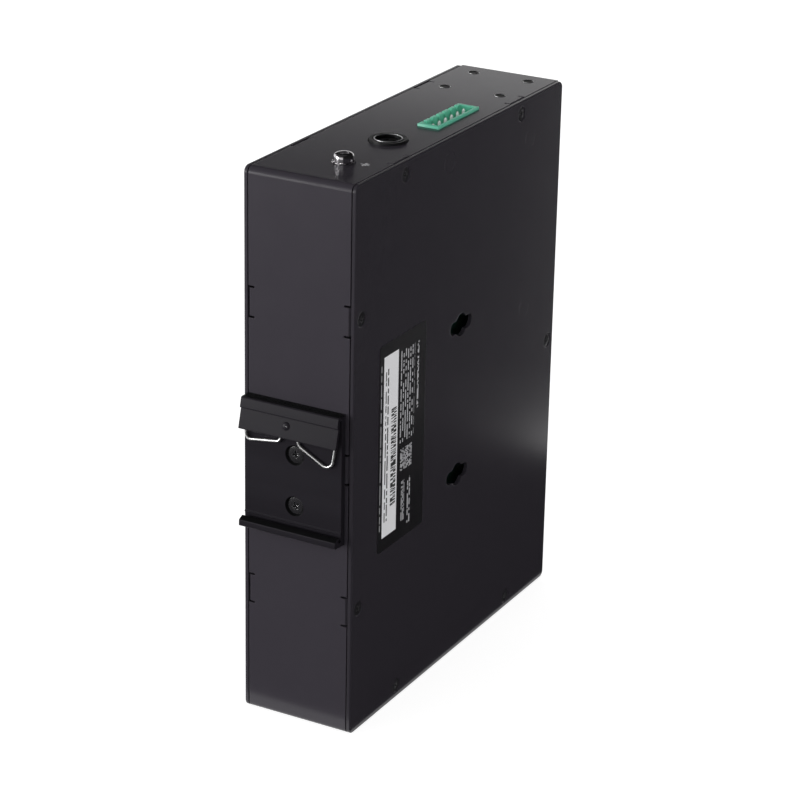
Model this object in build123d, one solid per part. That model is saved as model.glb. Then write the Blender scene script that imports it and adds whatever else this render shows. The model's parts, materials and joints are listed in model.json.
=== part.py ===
from build123d import *
from math import atan2, cos, degrees, pi
import os

# A slim industrial Ethernet switch that clips on a 35 mm rail, standing on its lower end.
# Places are measured in millimetres from the case's left, back, lower corner:
# X runs across the back towards the sticker side, Y from the back to the ports, Z up.

# Case
case_width = 36.5
case_depth = 128.3
case_height = 170.0
sheet = 1.2                  # chassis and front panel
cover_sheet = 1.2
cover_seam = 0.4             # between a cover and the edges of the plates beside it
cover_corner = 2.0
cover_edge_bevel = 0.3
fold_inside = 0.8            # inside radius of the long folds
plate_edge_round = 0.7       # front edges of the top and bottom plates
panel_gap = 0.1              # between the front panel and the plates round it
panel_flange = 4.4

# Tabs that fold in from the plates' side edges and take the cover screws
tab_width = 8.4
tab_length = 8.0
tab_relief = 0.7
tab_fold_inside = 0.4
tab_root = 2.4
tab_fold = 0.9               # bevel of the fold's outer corner
tab_screw_inset = 4.0
back_tab_offset = 45.0       # from the middle tab to the upper and lower ones
end_tab_offset = 36.15       # from mid-depth to the tabs of the top and bottom plates

# Countersunk screws of the covers and of the rail clip
cover_head_radius = 2.2
cover_head_height = 0.95
cover_shank_radius = 1.2
cover_screw_length = 5.0
clip_head_radius = 2.7
clip_head_height = 1.3
clip_shank_radius = 1.4
clip_screw_length = 8.0
screw_clearance = 0.06
screw_sides = 12             # small round parts are drawn with flat sides
inner_sides = 8              # those inside the case with fewer
hidden_sides = 6             # and holes that nobody sees with fewer still
head_sink = 0.08             # how far a head lies under the face round it

# Keyholes in the right cover
keyhole_radius = 3.6
keyhole_slot = 4.2
keyhole_length = 13.6
keyhole_offset = 24.4        # from mid-height to each keyhole

# Clip for the rail
rail_height = 35.0
rail_travel = 2.8            # spare height that lets the clip be tipped on
clip_inset = 4.1             # how much narrower than the case
clip_shift = 0.6             # from the case's middle towards the left
clip_floor = 63.2            # height of the lower hook's floor
clip_base = 2.0
clip_channel = 1.3           # room for the rail's 1 mm edge
clip_wall = 1.4
clip_roof = 1.2
clip_flare = 5.6
clip_flare_drop = 9.4        # from the clip's top down to the lip of the upper flange
clip_band = 3.1
lower_lip = 5.4
lower_lip_rise = 1.6
clip_rounds = {1: 0.5, 2: 0.4, 3: 0.25, 12: 0.35, 13: 0.3, 15: 0.3, 16: 0.3}
clip_screw_pitch = 16.0
clip_screw_low = 70.75
stake_radius = 0.8
stake_drop = 2.6             # below the band of the upper flange
stake_shift = 0.7            # from the clip's middle towards the left
dent_radius = 0.75
dent_depth = 0.35

# Wire spring of the clip
wire_radius = 0.42
wire_play = 0.1
wire_line = (                # share of the clip's width, height above the flange's lip
    (0.023, 3.8), (0.026, -3.7), (0.340, -2.6), (0.448, 3.5), (0.506, 3.5), (0.593, -3.0), (0.870, -7.3),
    (0.948, 3.8),
)

# Board, which stands on posts on the right cover
post_length = 4.5
post_width = 5.0             # across the flats
post_bore = 1.25
board_thickness = 1.6
board_back = 13.0
board_front_gap = 2.0
board_low = 4.0
board_top_gap = 0.5          # under the front panel's upper flange
board_hole = 1.7
board_screw_radius = 1.2
board_head_radius = 2.75
board_head_height = 1.9
board_head_bevel = 0.7

# Stacked network jacks, each with one port over the other
jack_count = 4
jack_low = 6.3               # below the lowest jack's room
jack_under_tab = 10.7        # from the highest jack's room to the case's mid-height
jack_space = 1.4             # between two jacks
jack_side_gap = 2.4          # from the jacks to the left cover
jack_depth = 24.5
jack_reach = 0.6             # in front of the panel
jack_shield = 0.3
jack_fit = 0.05
port_side = 1.95             # from a port to the jack's side
port_depth = 13.0
port_share = 0.27            # of the jack's height that a port takes
port_low_share = 0.113       # from the board to the first port
port_step_share = 0.492      # from the first port to the second
latch_share = 0.058
key_share = 0.031
latch_width = 6.1
key_width = 3.4
contact_count = 8
contact_pitch = 1.02
contact_width = 0.45
contact_thickness = 0.35
contact_rise = 1.9
contact_front = 2.5
contact_play = 0.05
lens_size = 2.0
lens_depth = 1.5
lens_pitch = 3.5
lens_count = 4

# Stacked cage for two optical modules
cage_rise = 28.6             # from the case's mid-height to its middle
cage_width = 15.0
cage_lower = 1.6             # than the jacks beside it
cage_depth = 48.7
cage_reach = 0.9
cage_wall = 0.5
cage_spacer = 4.6            # between its two bays
cage_connector_depth = 8.0
cage_connector_side = 0.6
cage_nose = 6.0
cage_nose_height = 5.4
cage_slot = 1.2              # slot of each nose
cut_gap = 0.3                # round every part that passes a cut-out

# Power jack
power_jack_body = 14.0
power_jack_step = 17.5       # from the terminal header's near end
power_jack_drop = 16.0       # length of the housing under the top plate
power_jack_reach = 0.7       # above the top plate
power_ring_radius = 5.6
power_shell_radius = 4.75
power_shell_wall = 0.35
power_core_radius = 3.35
power_core_sink = 1.0
power_socket_depth = 8.0
power_contact_radius = 0.55
power_contact_circle = 1.9
power_contact_hole = 0.68
power_contact_depth = 4.0    # below the socket's floor
power_contact_sink = 1.2     # below the core's face

# Terminal header
header_share = 0.5713        # of the case's depth, from the back to its middle
header_ways = 6
header_pitch = 3.81
header_end = 3.25            # from the last pin's middle to the end face
header_height = 7.1          # away from the board
header_length = 9.2          # along the pins
header_reach = 0.7
header_wall = 0.9
header_end_wall = 1.3
header_floor = 1.2
header_groove = 1.1
header_groove_depth = 3.4
header_pin = 1.0
header_pin_sink = 1.3
header_tail = 2.6            # from the moulding's floor to the pins' bend
header_notch = 2.2
header_notch_depth = 0.9

# Ground screw
ground_from_board = 7.0
ground_y = 17.6
ground_shank_radius = 1.5
ground_head_radius = 2.95
ground_head_height = 2.3
ground_head_bevel = 0.8
ground_screw_length = 7.0
washer_radius = 3.45
washer_thickness = 0.6
washer_teeth = 12
nut_width = 5.5
nut_height = 2.4

# Tapped holes for rack ears in the top and bottom plates
ear_hole_radius = 1.65
ear_pitch = 19.05
ear_from_front = 16.3

# Status lamps beside the ports
guide_rod_radius = 1.0
guide_hole_gap = 0.1
guide_rows = 3
guide_row_pitch = 8.0
guide_over_cage = 20.4       # from the cage's middle to the lowest lamp
guide_columns = (4.0, 9.0)   # heights above the board
guide_carrier = 2.6
guide_reach = 0.3
guide_back = 13.0            # from the front face to the carrier's back
guide_margin = 1.0           # of the carrier round the rods

# Sticker
label_thickness = 0.1
label_corner = 0.8
label_y = (14.6, 42.0)
label_z = (53.0, 118.1)

# Posts' places: from mid-depth or the header, and from mid-height or the board's ends
post_before_header = 6.3
post_top_drop = 4.3
post_front_drop = 10.1
post_front = 42.6
post_back = 34.1
post_upper = 16.5
post_lower = 25.0
post_behind_jacks = 2.1      # from the lowest screw's head to the transformers
post_low_rise = 9.6

# Chip, pad and heat sink
chip_depth_share = 0.475     # of the case's depth
chip_height_share = 0.365    # of the case's height
chip_size = 21.0
chip_height = 1.6
pad_thickness = 0.5
sink_size = 38.0
sink_base = 2.5
sink_height = 11.0
sink_fins = 9
sink_fin = 1.3

# Chips round the heat sink: size along Y and Z, and height
poe_chip = (8.0, 8.0, 0.9)
poe_drop = 7.0               # from the sink to the chips that feed the ports
poe_pitch = 20.0
crystal = (4.6, 11.0, 3.5)
crystal_round = 1.4
flash = (5.3, 5.3, 1.8)
side_step = 9.0              # from the sink to the crystal and the memory
crystal_drop = 15.0
flash_rise = 12.0
transistor = (6.5, 6.1, 2.3)
transistor_count = 4
transistor_pitch = 10.0
transistor_step = 9.0        # from the sink

# Transformers behind the jacks
transformer_depth = 7.0
transformer_height = 5.2
transformer_gap = 1.5
transformer_side = 0.3       # from a transformer's end to its jack's side

# Power stage, in rows down from the case's top
can_sides = 16
capacitor_radius = 5.0
capacitor_height = 20.0
capacitor_bevel = 0.6
capacitor_y = 21.0
capacitor_top = 25.0
capacitor_count = 3
capacitor_pitch = 13.0
fuse_radius = 4.2
fuse_height = 7.7
fuse_bevel = 0.5
fuse_drop = 25.5
surge_radius = 5.0
surge_thickness = 4.0
surge_bevel = 1.0
surge_step = 12.0            # from the power jack's middle
relay = (20.0, 10.0, 10.4)
relay_drop = 9.0             # below the header's pins
relay_bevel = 0.6
coil_row = 40.0              # from the case's top
inductor = (12.5, 12.5, 8.0)
inductor_bevel = 2.0
inductor_first = 36.0
inductor_count = 2
coil_pitch = 14.0
choke_radius = 7.0
choke_bore = 3.0
choke_height = 8.0
choke_foot = 1.0

# Derived places
right_inside = case_width - cover_sheet
plates_x = (cover_sheet + cover_seam, right_inside - cover_seam)
middle_x = case_width / 2
board_face = right_inside - post_length - board_thickness
board_top = case_height - 2 * sheet - panel_gap - board_top_gap
board_front = case_depth - board_front_gap
jack_pitch = (case_height / 2 - jack_under_tab - jack_low) / jack_count
jack_width = jack_pitch - jack_space
jack_height = board_face - cover_sheet - jack_side_gap
port_width = jack_width - 2 * port_side
port_height = jack_height * port_share
port_low = jack_height * port_low_share
port_step = jack_height * port_step_share
latch_rise = jack_height * latch_share
key_rise = jack_height * key_share
transformer_front = case_depth + jack_reach - jack_shield - jack_depth - transformer_gap
transformer_back = transformer_front - transformer_depth
cage_middle = case_height / 2 + cage_rise
cage_height = jack_height - cage_lower
module_height = (cage_height - 2 * cage_wall - cage_spacer) / 2
header_middle = case_depth * header_share
header_start = header_middle - (header_ways - 1) * header_pitch / 2 - header_end
power_jack_y = header_start - power_jack_step
ground_x = board_face - ground_from_board
ear_middle = case_depth - ear_from_front
guide_first = cage_middle + guide_over_cage
chip_y = case_depth * chip_depth_share
chip_z = case_height * chip_height_share
sink_reach = sink_size / 2
fold_outside = fold_inside + sheet
clip_top = clip_floor + rail_height + rail_travel + clip_roof
clip_width = case_width - clip_inset
clip_middle = middle_x - clip_shift
clip_x = (clip_middle - clip_width / 2, clip_middle + clip_width / 2)
clip_screw_z = (clip_screw_low, clip_screw_low + clip_screw_pitch)
front_reach = max(cage_reach, jack_reach)
left = -(case_width + label_thickness) / 2
back = clip_flare - (clip_flare + case_depth + front_reach) / 2
far = 2 * case_depth


def block(x, y, z):
    """A box between two places along each axis."""
    spans = (x, y, z)
    middle = [(low + high) / 2 for low, high in spans]
    size = [high - low for low, high in spans]
    return Pos(*middle) * Box(*size)


def column(radius, length, sides=0, around=False):
    """A round column about Z, or a many-sided one inside that circle or around it."""
    if sides:
        return extrude(RegularPolygon(radius, sides, major_radius=not around), length / 2, both=True)
    return Cylinder(radius, length)


def rod(axis, radius, span, across, sides=0, around=False):
    """A column along an axis, with its place on the two other axes."""
    middle = (span[0] + span[1]) / 2
    shape = column(radius, span[1] - span[0], sides, around)
    if axis == "x":
        return Pos(middle, *across) * Rot(0, 90, 0) * shape
    if axis == "y":
        return Pos(across[0], middle, across[1]) * Rot(90, 0, 0) * shape
    return Pos(*across, middle) * shape


def spread(count, pitch):
    """Places of a row of like things about its middle."""
    return [(index - (count - 1) / 2) * pitch for index in range(count)]


def group(pieces):
    """Separate solids kept together."""
    return Compound(pieces)


def flare(low_radius, top_radius, depth, sides, around=False):
    """A many-sided cone that narrows downwards from its top face at Z = 0."""
    top = RegularPolygon(top_radius, sides, major_radius=not around)
    narrowing = (top_radius - low_radius) * (1 if around else cos(pi / sides))
    return Rot(180, 0, 0) * extrude(top, depth, taper=degrees(atan2(narrowing, depth)))


def countersunk(head_radius, head_height, shank_radius, length):
    """A countersunk screw with its head's face at Z = 0 and its shank down along -Z."""
    head = flare(shank_radius, head_radius, head_height, screw_sides)
    shank = column(shank_radius, length - head_height, hidden_sides)
    return head + Pos(0, 0, -(length + head_height) / 2) * shank


def countersink(head_radius, shank_radius, depth):
    """The flared hole for such a screw through a plate whose face is at Z = 0."""
    rim = head_radius + head_sink + screw_clearance
    return flare(shank_radius + screw_clearance, rim, depth, screw_sides, around=True)


def tab_places():
    """Each tab: its place along Y and Z, its plate's inward direction, and whether it has a screw."""
    mid_y = case_depth / 2
    mid_z = case_height / 2
    places = [("back", mid_z + offset, offset != 0) for offset in (-back_tab_offset, 0, back_tab_offset)]
    for plate in ("bottom", "top"):
        places += [(plate, mid_y + offset, True) for offset in (-end_tab_offset, end_tab_offset)]
    places.append(("front", mid_z, True))
    return places


def tab_frame(plate, along, side):
    """The corner where a plate's outer face meets the cover's inner face, and the way inwards."""
    x = right_inside if side > 0 else cover_sheet
    corner = {
        "back": ((x, 0, along), (0, 1, 0)),
        "front": ((x, case_depth, along), (0, -1, 0)),
        "bottom": ((x, along, 0), (0, 0, 1)),
        "top": ((x, along, case_height), (0, 0, -1)),
    }
    return corner[plate]


def tab_plane(plate, along, side):
    """A plane across the tab: its X runs away from the cover and its Y into the case."""
    corner, inward = tab_frame(plate, along, side)
    away = Vector(-side, 0, 0)
    return Plane(origin=corner, x_dir=away, z_dir=away.cross(Vector(*inward)))


def tab_cut(plate, along, side):
    """The notch in the plate's edge that a tab and its two reliefs take."""
    width = tab_width + 2 * tab_relief
    face = Pos(tab_root / 2 - sheet, 0) * Rectangle(tab_root + 2 * sheet, 2.5 * sheet)
    return extrude(tab_plane(plate, along, side) * face, width / 2, both=True)


def tab(plate, along, side, screwed):
    """A tab folded in from a plate's edge to lie along the cover."""
    outline = Polyline((0, tab_fold), (tab_fold, 0), (tab_root, 0), (tab_root, sheet), (sheet, sheet),
                       (sheet, tab_length), (0, tab_length), close=True)
    face = make_face(outline)
    plane = tab_plane(plate, along, side)
    solid = extrude(plane * face, tab_width / 2, both=True)
    if screwed:
        hole = plane * Pos(0, tab_screw_inset, 0) * Rot(0, 90, 0)
        solid -= hole * column(cover_shank_radius + screw_clearance, 4 * sheet, hidden_sides, True)
    return solid


def with_tabs(shape, plates):
    """A folded sheet with its tabs on both sides."""
    for plate, along, screwed in tab_places():
        if plate in plates:
            for side in (-1, 1):
                shape = shape - tab_cut(plate, along, side) + tab(plate, along, side, screwed)
    return shape


def screw_places():
    """Where the cover screws are, along Y and Z."""
    places = []
    for plate, along, screwed in tab_places():
        if screwed:
            corner, inward = tab_frame(plate, along, 1)
            places.append(tuple(corner[axis] + inward[axis] * tab_screw_inset for axis in (1, 2)))
    return places


def header_y():
    """Ends of the terminal header along Y."""
    return (header_start, 2 * header_middle - header_start)


def top_cuts():
    """Openings of the top plate for the header, the power jack and the ground screw."""
    plate = (case_height - 2 * sheet, case_height + sheet)
    ends = header_y()
    near_x = board_face - header_height
    cuts = block((near_x - cut_gap, board_face + cut_gap), (ends[0] - cut_gap, ends[1] + cut_gap), plate)
    for end, inward in ((ends[0], 1), (ends[1], -1)):
        notch_y = end + inward * header_pitch
        cuts += block((near_x - cut_gap - header_notch_depth, near_x),
                      (notch_y - header_notch / 2, notch_y + header_notch / 2), plate)
    cuts += rod("z", power_ring_radius + cut_gap, plate, (power_jack_x(), power_jack_y))
    ground = ground_shank_radius + screw_clearance
    cuts += rod("z", ground, plate, (ground_x, ground_y), screw_sides, True)
    return cuts


def ear_holes(z):
    """The square of tapped holes for a rack ear in one end plate."""
    holes = [rod("z", ear_hole_radius, z, (middle_x + dx, ear_middle + dy))
             for dx in spread(2, ear_pitch) for dy in spread(2, ear_pitch)]
    return Part() + holes


def chassis():
    """Back, top and bottom folded from one sheet, with tabs for the covers."""
    outer = block(plates_x, (0, case_depth), (0, case_height))
    inner = block(plates_x, (sheet, far), (sheet, case_height - sheet))
    outer = fillet(outer.edges().filter_by(Axis.X).group_by(Axis.Y)[0], fold_outside)
    inner = fillet(inner.edges().filter_by(Axis.X).group_by(Axis.Y)[0], fold_inside)
    rims = outer.edges().filter_by(Axis.X).group_by(Axis.Y)[-1]
    shape = fillet(rims, plate_edge_round) - inner
    shape = with_tabs(shape, ("back", "bottom", "top"))
    shape -= top_cuts()
    shape -= ear_holes((-sheet, 2 * sheet))
    shape -= ear_holes((case_height - 2 * sheet, case_height + sheet))
    for z in clip_screw_z:
        across = (middle_x, z)
        shape -= rod("y", clip_shank_radius + screw_clearance, (-sheet, 2 * sheet), across, hidden_sides, True)
    return shape


def panel_cuts():
    """Openings of the front panel for the jacks, the cage and the status lamps."""
    through = (case_depth - 2 * sheet, case_depth + sheet)
    cuts = Part()
    half = jack_width / 2 + jack_shield + cut_gap
    heights = jack_heights()
    cuts += block((board_face - jack_height - jack_shield - cut_gap, board_face + cut_gap), through,
                  (heights[0] - half, heights[-1] + half))
    half = cage_width / 2 + cut_gap
    cuts += block((board_face - cage_height - cut_gap, board_face + cut_gap), through,
                  (cage_middle - half, cage_middle + half))
    for x, z in guide_places():
        cuts += rod("y", guide_rod_radius + guide_hole_gap, through, (x, z), screw_sides, True)
    return cuts


def front_panel():
    """The panel round the ports, with short flanges behind the top and bottom plates."""
    low = sheet + panel_gap
    high = case_height - sheet - panel_gap
    depth = case_depth - sheet - panel_flange
    outer = block(plates_x, (depth, case_depth), (low, high))
    outer = fillet(outer.edges().filter_by(Axis.X).group_by(Axis.Y)[-1], tab_fold_inside + sheet)
    inner = block(plates_x, (-far, case_depth - sheet), (low + sheet, high - sheet))
    inner = fillet(inner.edges().filter_by(Axis.X).group_by(Axis.Y)[-1], tab_fold_inside)
    return with_tabs(outer - inner, ("front",)) - panel_cuts()


def cover(side):
    """A flat side cover with countersunk holes."""
    x = (right_inside, case_width) if side > 0 else (0, cover_sheet)
    plate = block(x, (0, case_depth), (0, case_height))
    plate = fillet(plate.edges().filter_by(Axis.X), cover_corner)
    outside = plate.faces().sort_by(Axis.X)[-1 if side > 0 else 0]
    plate = chamfer(outside.edges(), cover_edge_bevel)
    face = case_width if side > 0 else 0
    hole = countersink(cover_head_radius, cover_shank_radius, cover_sheet)
    for y, z in screw_places():
        plate -= Pos(face, y, z) * Rot(0, 90 * side, 0) * hole
    return plate


def keyhole(z):
    """A round hole with a slot to each side, right through the cover."""
    outline = Circle(keyhole_radius) + SlotOverall(keyhole_length, keyhole_slot)
    plane = Plane(origin=(right_inside, case_depth / 2, z), x_dir=(0, 1, 0), z_dir=(1, 0, 0))
    return extrude(plane * outline, 2 * cover_sheet, both=True)


def right_cover():
    """The cover with the keyholes."""
    plate = cover(1)
    for offset in (-keyhole_offset, keyhole_offset):
        plate -= keyhole(case_height / 2 + offset)
    return plate


def cover_screws(side):
    """The countersunk screws of one cover."""
    face = case_width - head_sink if side > 0 else head_sink
    screw = countersunk(cover_head_radius, cover_head_height, cover_shank_radius, cover_screw_length)
    return group([Pos(face, y, z) * Rot(0, 90 * side, 0) * screw for y, z in screw_places()])


def clip_outline():
    """Section of the rail clip in depth behind the case and height."""
    base = clip_base
    inner = clip_base + clip_channel
    outer = inner + clip_wall
    roof = clip_top - clip_roof
    band = clip_top - clip_band
    lip = clip_top - clip_flare_drop
    rise = clip_floor + lower_lip_rise
    bead = rise + 0.8
    sole = clip_floor - clip_roof
    return [
        (0, sole - 0.5), (lower_lip, sole), (lower_lip, rise - 0.8), (inner, rise + 0.1), (inner, clip_floor),
        (base, clip_floor), (base, bead - 0.4), (base + 0.3, bead), (base, bead + 0.4), (base, roof),
        (inner, roof), (inner, band - 0.9), (clip_flare - 1.0, lip - 0.1), (clip_flare, lip),
        (inner + 0.75, band - 0.3), (outer, band), (outer - 0.7, clip_top - 0.3), (outer - 1.0, clip_top),
        (0, clip_top),
    ]


def din_clip():
    """The extruded clip, with its screw holes and the dent that stakes the spring."""
    points = [(clip_x[0], -depth, z) for depth, z in clip_outline()]
    face = make_face(Polyline(*points, close=True))
    for index, radius in clip_rounds.items():
        face = fillet(face.vertices().sort_by_distance(points[index])[0], radius)
    shape = extrude(face, clip_width, dir=(1, 0, 0))
    across = (clip_middle - stake_shift, clip_stake_height())
    inner = clip_base + clip_channel
    shape += rod("y", stake_radius, (-inner - clip_wall / 2, -inner + wire_play), across, screw_sides)
    dent = flare(dent_radius / 3, dent_radius, dent_depth, screw_sides)
    depth, lean = flange_face()
    shape -= Pos(across[0], -depth, across[1]) * Rot(90 - lean, 0, 0) * dent
    hole = countersink(clip_head_radius, clip_shank_radius, clip_base)
    for z in clip_screw_z:
        shape -= Pos(middle_x, -clip_base, z) * Rot(90, 0, 0) * hole
    return shape


def clip_stake_height():
    """Height of the dent in the upper flange, where the spring's middle is held."""
    return clip_top - clip_band - stake_drop


def flange_face():
    """Depth of the upper flange's outer face at the dent, and its lean from upright in degrees."""
    (low_depth, low_z), (high_depth, high_z) = clip_outline()[13:15]
    share = (clip_stake_height() - low_z) / (high_z - low_z)
    lean = degrees(atan2(low_depth - high_depth, high_z - low_z))
    return low_depth + (high_depth - low_depth) * share, lean


def clip_screws():
    """The two screws that hold the clip to the chassis."""
    screw = countersunk(clip_head_radius, clip_head_height, clip_shank_radius, clip_screw_length)
    return group([Pos(middle_x, head_sink - clip_base, z) * Rot(90, 0, 0) * screw for z in clip_screw_z])


def clip_spring():
    """The formed wire: a hump held in the middle and an arm to each side that presses the rail."""
    depth = -(clip_base + clip_channel / 2)
    lip = clip_top - clip_flare_drop
    path = Polyline(*[(clip_x[0] + share * clip_width, depth, lip + rise) for share, rise in wire_line])
    ring = Plane(origin=path @ 0, z_dir=path % 0) * RegularPolygon(wire_radius, hidden_sides)
    return sweep(ring, path=path, transition=Transition.RIGHT)


def post_places():
    """Where the board's posts stand, along Y and Z."""
    mid_y = case_depth / 2
    mid_z = case_height / 2
    return [
        (header_start - post_before_header, board_top - post_top_drop),
        (mid_y + post_front, board_top - post_front_drop),
        (mid_y + post_front, mid_z + post_upper),
        (mid_y - post_back, mid_z + post_upper),
        (mid_y - post_back, mid_z - post_lower),
        (transformer_back - board_head_radius - post_behind_jacks, board_low + post_low_rise),
    ]


def main_board():
    """The circuit board, with its post holes and the header's pin holes."""
    x = (board_face, board_face + board_thickness)
    shape = block(x, (board_back, board_front), (board_low, board_top))
    shape = chamfer(shape.edges().filter_by(Axis.X), cover_corner)
    through = (x[0] - 1, x[1] + 1)
    holes = [rod("x", board_hole, through, place, hidden_sides, True) for place in post_places()]
    size = header_pin / 2 + contact_play
    z = header_bend()
    for y in header_pins_y():
        holes.append(block(through, (y - size, y + size), (z - size, z + size)))
    return shape - holes


def board_posts():
    """Six-sided posts between the board and the right cover."""
    outline = RegularPolygon(post_width / 2, 6, major_radius=False)
    outline -= RegularPolygon(post_bore, hidden_sides, major_radius=False)
    posts = []
    for y, z in post_places():
        plane = Plane(origin=(right_inside, y, z), x_dir=(0, 1, 0), z_dir=(-1, 0, 0))
        posts.append(extrude(plane * outline, post_length))
    return group(posts)


def board_screws():
    """Pan-head screws that hold the board on its posts."""
    length = board_thickness + post_length - 1
    screws = []
    for y, z in post_places():
        across = (y, z)
        head = rod("x", board_head_radius, (board_face - board_head_height, board_face), across, inner_sides)
        head = chamfer(head.faces().sort_by(Axis.X)[0].edges(), board_head_bevel)
        screws.append(head + rod("x", board_screw_radius, (board_face, board_face + length), across, hidden_sides))
    return group(screws)


def jack_heights():
    """Heights of the stacked jacks' middles, from the lowest up."""
    return [jack_low + (index + 0.5) * jack_pitch for index in range(jack_count)]


def port_spans():
    """Each port of a jack along X: its contact side, its latch side."""
    near = board_face - port_low
    far_side = near - port_step
    return [(near - port_height, near), (far_side, far_side - port_height)]


def port_hollow(z):
    """Both plug openings of a jack, each with its stepped notch for the latch."""
    front = case_depth + jack_reach
    y = (front - port_depth, front + 1)
    hollow = Part()
    for contact_side, latch_side in port_spans():
        step = 1 if latch_side > contact_side else -1
        hollow += block(sorted((contact_side, latch_side)), y, (z - port_width / 2, z + port_width / 2))
        latch_end = latch_side + step * latch_rise
        hollow += block(sorted((contact_side, latch_end)), y, (z - latch_width / 2, z + latch_width / 2))
        key_end = latch_end + step * key_rise
        hollow += block(sorted((contact_side, key_end)), y, (z - key_width / 2, z + key_width / 2))
    return hollow


def lens_places(z):
    """Centres of a jack's lamp lenses on its front, between the ports."""
    x = board_face - port_low - (port_height + port_step) / 2
    return [(x, z + offset) for offset in spread(lens_count, lens_pitch)]


def lens(x, z, grow):
    """A lamp lens, or with some growth the pocket that it sits in."""
    half = lens_size / 2 + grow
    front = case_depth + jack_reach
    return block((x - half, x + half), (front - lens_depth - grow, front), (z - half, z + half))


def jack_insert(z):
    """The moulded inside of a stacked jack."""
    front = case_depth + jack_reach - jack_shield
    body = block((board_face - jack_height, board_face), (front - jack_depth, front),
                 (z - jack_width / 2, z + jack_width / 2))
    body -= port_hollow(z)
    for x, lens_z in lens_places(z):
        body -= lens(x, lens_z, jack_fit)
    return body


def jack_shield_piece(z):
    """The sheet shield over a jack: front, sides, far face and back, open towards the board."""
    front = case_depth + jack_reach
    inner_x = (board_face - jack_height - jack_fit, board_face + 1)
    inner_y = (front - jack_shield - jack_depth - jack_fit, front - jack_shield + jack_fit)
    half = jack_width / 2 + jack_fit
    inner = block(inner_x, inner_y, (z - half, z + half))
    wall = jack_shield - jack_fit
    outer = block((inner_x[0] - wall, board_face), (inner_y[0] - wall, front), (z - half - wall, z + half + wall))
    shell = outer - inner - port_hollow(z)
    for x, lens_z in lens_places(z):
        shell -= lens(x, lens_z, jack_fit)
    return shell


def jack_contacts(z):
    """The sprung contact wires of both ports, sloping up from the floor to the back wall."""
    front = case_depth + jack_reach - contact_front
    rear = case_depth + jack_reach - port_depth + contact_play
    wires = []
    for contact_side, latch_side in port_spans():
        step = 1 if latch_side > contact_side else -1
        foot = contact_side + step * contact_play
        tip = foot + step * contact_rise
        thick = step * contact_thickness
        for offset in spread(contact_count, contact_pitch):
            low_z = z + offset - contact_width / 2
            points = [(foot, front, low_z), (foot + thick, front, low_z),
                      (tip + thick, rear, low_z), (tip, rear, low_z)]
            wires.append(extrude(make_face(Polyline(*points, close=True)), contact_width, dir=(0, 0, 1)))
    return group(wires)


def jack_lenses():
    """The lamp lenses of all the jacks."""
    return group([lens(x, lens_z, 0) for z in jack_heights() for x, lens_z in lens_places(z)])


def cage_y():
    """Back and front of the optical cage."""
    front = case_depth + cage_reach
    return (front - cage_depth, front)


def cage_module_spans():
    """Each module bay of the cage along X."""
    near = board_face - cage_wall
    far_side = board_face - cage_height + cage_wall
    return [(near - module_height, near), (far_side, far_side + module_height)]


def sfp_cage():
    """A folded cage with two bays, and a spacer between them that stops short of the connector."""
    y = cage_y()
    half = cage_width / 2
    z = (cage_middle - half, cage_middle + half)
    inside_z = (z[0] + cage_wall, z[1] - cage_wall)
    shape = block((board_face - cage_height, board_face), y, z)
    shape -= block((board_face - cage_height + cage_wall, board_face - cage_wall),
                   (y[0] + cage_wall, y[1] + 1), inside_z)
    lower, upper = cage_module_spans()
    spacer_y = (y[0] + cage_wall + cage_connector_depth + cage_nose + 1, y[1] - 0.2)
    spacer = block((upper[1], lower[0]), spacer_y, inside_z)
    spacer -= block((upper[1] + cage_wall, lower[0] - cage_wall), (spacer_y[0] - 1, spacer_y[1] - cage_wall),
                    inside_z)
    return shape + spacer


def sfp_connector():
    """The tall connector at the back of the cage, with a slotted nose in each bay."""
    y = cage_y()
    start = y[0] + cage_wall + jack_fit
    half = cage_width / 2 - cage_wall - cage_connector_side
    z = (cage_middle - half, cage_middle + half)
    inside = (board_face - cage_height + cage_wall + jack_fit, board_face - cage_wall - jack_fit)
    body = block(inside, (start, start + cage_connector_depth), z)
    for low, high in cage_module_spans():
        middle = (low + high) / 2
        nose_y = (start + cage_connector_depth, start + cage_connector_depth + cage_nose)
        nose_x = (middle - cage_nose_height / 2, middle + cage_nose_height / 2)
        slot_x = (middle - cage_slot / 2, middle + cage_slot / 2)
        body += block(nose_x, nose_y, z)
        body -= block(slot_x, (nose_y[0] + cage_slot, nose_y[1] + 1), (z[0] + cage_slot, z[1] - cage_slot))
    return body


def power_jack_x():
    """Middle of the power jack across the case."""
    return board_face - power_jack_body / 2


def power_jack_body_piece():
    """The jack's housing with its ring through the top plate and its socket core."""
    x = power_jack_x()
    half = power_jack_body / 2
    top = case_height + power_jack_reach
    under = case_height - sheet - panel_gap
    centre = (x, power_jack_y)
    body = block((x - half, x + half), (power_jack_y - half, power_jack_y + half), (under - power_jack_drop, under))
    body += rod("z", power_ring_radius, (under, top), centre)
    socket = rod("z", power_shell_radius + jack_fit, (top - power_socket_depth, top + 1), centre)
    core_z = (top - power_socket_depth - 1, top - power_core_sink)
    core = rod("z", power_core_radius, core_z, centre, can_sides)
    body = body - socket + core
    holes = (top - power_socket_depth - power_contact_depth, top)
    for dx, dy in power_contact_places():
        body -= rod("z", power_contact_hole, holes, (x + dx, power_jack_y + dy), hidden_sides, True)
    return body


def power_contact_places():
    """Places of the four contacts about the jack's axis."""
    half = power_contact_circle / 2 ** 0.5
    return [(sx * half, sy * half) for sx in (-1, 1) for sy in (-1, 1)]


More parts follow.
